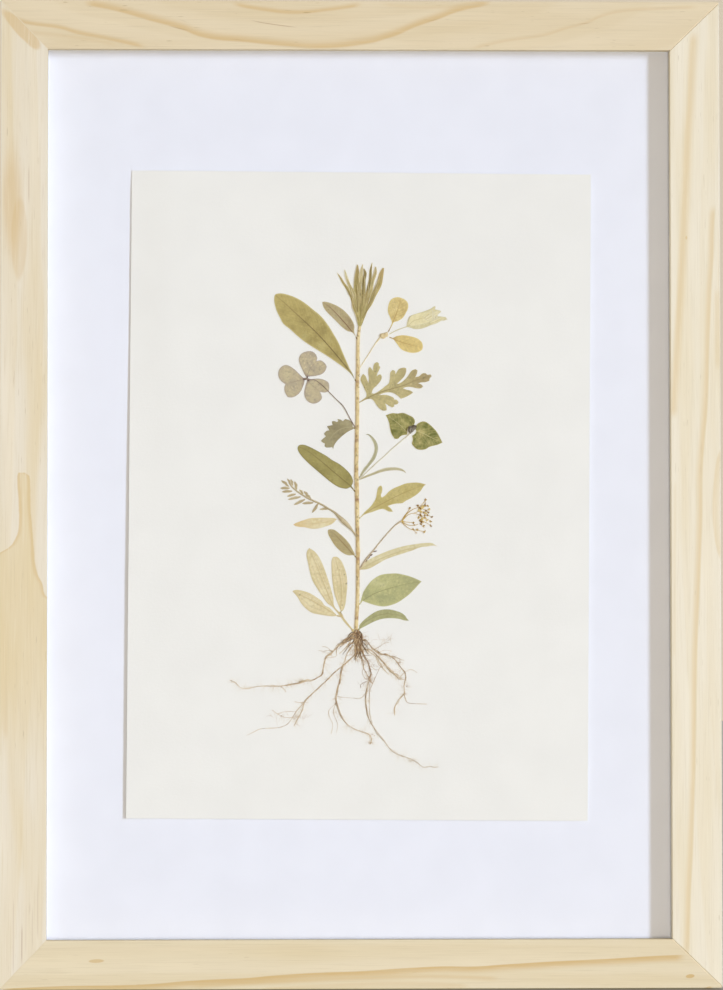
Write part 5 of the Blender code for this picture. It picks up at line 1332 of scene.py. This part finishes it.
crown = Shape()
strands = [
    [(357.2, 629.8, 1.6), (357.4, 634, 1.6), (357.6, 640, 1.6), (358.4, 647, 1.5), (358.6, 653.6, 1.1)],
    [(355.8, 629.8, 1.6), (353.4, 634, 1.9), (349.6, 638, 1.9), (345.2, 641.4, 1.5), (342.6, 643, 1.2)],
    [(354.8, 630.4, 1.1), (349.6, 634.8, 1.2), (345.6, 638, 1.1), (341.6, 641.2, 0.9)],
    [(358.6, 630.4, 1.5), (360.6, 634.8, 1.5), (362.2, 639.8, 1.3), (364.6, 640.2, 0.8)],
    [(356.6, 633, 1.4), (360.2, 639, 1.5), (362.6, 645.2, 1.4), (365.6, 649, 1.0)],
    [(355.6, 634, 1.4), (354.4, 641, 1.5), (355.4, 648, 1.3), (354.6, 655, 1.0)],
    [(359.4, 636, 1.5), (356.2, 643, 1.6), (357.2, 650, 1.3), (356.4, 655.6, 0.9)],
    [(356.4, 638, 1.3), (352.8, 642.6, 1.3), (349.4, 644.4, 0.9), (346.8, 647.6, 0.6)],
    [(358, 640, 1.5), (361, 646.4, 1.5), (361.8, 651.6, 1.3), (363.4, 655.8, 0.9)],
    [(360.2, 634, 0.9), (361.4, 641, 1.0), (359.4, 648.4, 1.0), (360.4, 654.4, 0.8)],
    [(352, 637, 0.8), (356, 640.8, 0.9), (360.8, 641.8, 0.9), (364.6, 643.6, 0.6)],
    [(348.6, 639.6, 0.8), (352.6, 637.6, 0.9), (357.8, 638.6, 0.9), (361.6, 636.8, 0.6)],
    [(353.4, 650.6, 0.7), (357.6, 648.6, 0.8), (361.6, 649.8, 0.8), (364.6, 648, 0.5)],
]
rng = random.Random(5)
for i, strand in enumerate(strands):
    for k in range(4):
        loose = [(x + rng.uniform(-1, 1) * 0.95 * r, y + rng.uniform(-1, 1) * 1.2,
                  r * rng.uniform(0.18, 0.34))
                 for x, y, r in strand]
        (x0, y0, _), (x1, y1, r) = loose[-2:]
        far = rng.uniform(0.2, 1.5)
        loose.append((x1 + far * (x1 - x0) + rng.uniform(-1.5, 1.5), y1 + far * (y1 - y0), 0.5 * r))
        tube(crown, loose, lift=0.09 * ((i + k) % 5), flat=0.7, sides=8, step=0.35, rough=0.5, wobble=0.3,
             seed=90 + i + 20 * k, tone=(0.1, 0.5, 0.95, 0.3)[k])
for x, y, long, wide, turn in ((357.4, 643.6, 2.0, 0.8, 80), (358.6, 650.0, 1.6, 0.7, 100),
                               (352.2, 638.2, 1.8, 0.7, 40), (360.4, 640.2, 1.6, 0.7, 120),
                               (355.6, 633.4, 2.0, 1.2, 60),
                               (358.4, 632.6, 1.6, 1.1, 90)):
    bud(crown, x, y, long, wide, turn, lift=0.1, lobes=6, deep=0.2, tall=0.6, tone=0.3, seed=x)
wisps(crown, [(rng.uniform(347, 366), rng.uniform(633, 656), rng.uniform(20, 190)) for _ in range(90)], 6,
      length=(1.0, 4.5), radius=0.05, spread=40, lift=0.3, tone=0.8)
crown.finish("root_crown_fine", stalk_look("bark_crown", (111, 81, 51), (159, 127, 87), (216, 188, 143),
                                           flank_shade=0.25, seed=60.0), "dry_root", "root_crown")


# Camera, light and floor

camera = bpy.data.cameras.new("camera")
camera.sensor_width = 36.0
camera.lens = 119.24
camera.clip_start = 0.05
eye = bpy.data.objects.new("camera", camera)
bpy.context.scene.collection.objects.link(eye)
eye.location = (-0.02702, -1.5, -0.04349)
eye.rotation_euler = (math.pi / 2 + 0.02851, 0.00059, -0.01821)
eye.rotation_mode = "XYZ"
bpy.context.scene.camera = eye


# A tall cool window at the right as three suns at different heights, the warm room all round
# and behind the camera, and a soft fill behind the frame for the views from there
for name, kind, energy, colour, size, towards in (
        ("window_low", "SUN", 0.77, (0.64, 0.75, 1.0), 8, (0.96, -1.0, 0.02)),
        ("window_middle", "SUN", 0.77, (0.64, 0.75, 1.0), 8, (0.96, -1.0, 0.12)),
        ("window_high", "SUN", 0.77, (0.64, 0.75, 1.0), 8, (0.96, -1.0, 0.25)),
        ("room", "SUN", 0.32, (1.0, 0.90, 0.79), 60, (0.05, -1.0, 0.0)),
        ("room_near", "AREA", 7.8, (1.0, 0.92, 0.83), 0.25, (0.08, -1.55, -0.20)),
        ("fill_behind", "SUN", 1.6, (1.0, 0.97, 0.93), 40, (-0.5, 1.0, 0.5))):
    light = bpy.data.lights.new(name, kind)
    light.energy, light.color = energy, colour
    lamp = bpy.data.objects.new(name, light)
    bpy.context.scene.collection.objects.link(lamp)
    lamp.rotation_euler = Vector(towards).to_track_quat("Z", "Y").to_euler()
    if kind == "SUN":
        light.angle = math.radians(size)
    else:
        light.size = size
        lamp.location = towards
    if size > 20 or kind == "AREA":     # these would show as a disc in the glass
        lamp.visible_glossy = lamp.visible_transmission = False

world = bpy.data.worlds.new("studio")
bpy.context.scene.world = world
world.use_nodes = True
world.node_tree.nodes["Background"].inputs["Color"].default_value = (1.0, 0.93, 0.85, 1.0)
world.node_tree.nodes["Background"].inputs["Strength"].default_value = 0.25

for name, tone, place, turn in (("floor", (238, 234, 226), (0.0, 0.0, -0.2256), 0.0),
                                ("backdrop", (250, 232, 196), (0.0, 3.0, 2.5), math.pi / 2)):
    pale = Look(name + "_pale", 0.8)
    pale.colour = pale.mix(pale.noise(0.4), rgb(tone), rgb(tone, 0.99))
    pale.done()
    bm = bmesh.new()
    bmesh.ops.create_grid(bm, x_segments=2, y_segments=2, size=3.0)
    mesh = bpy.data.meshes.new(name)
    bm.to_mesh(mesh)
    bm.free()
    plane = bpy.data.objects.new(name, mesh)
    bpy.context.scene.collection.objects.link(plane)
    plane.location, plane.rotation_euler = place, (turn, 0.0, 0.0)
    # The lamps stand for what these throw back, and the glass shows no horizon
    plane.visible_shadow = plane.visible_diffuse = plane.visible_glossy = plane.visible_transmission = False
    mesh.materials.append(pale.mat)

view = bpy.context.scene.view_settings
view.view_transform = "Standard"
view.look = "None"
view.exposure = 0.0
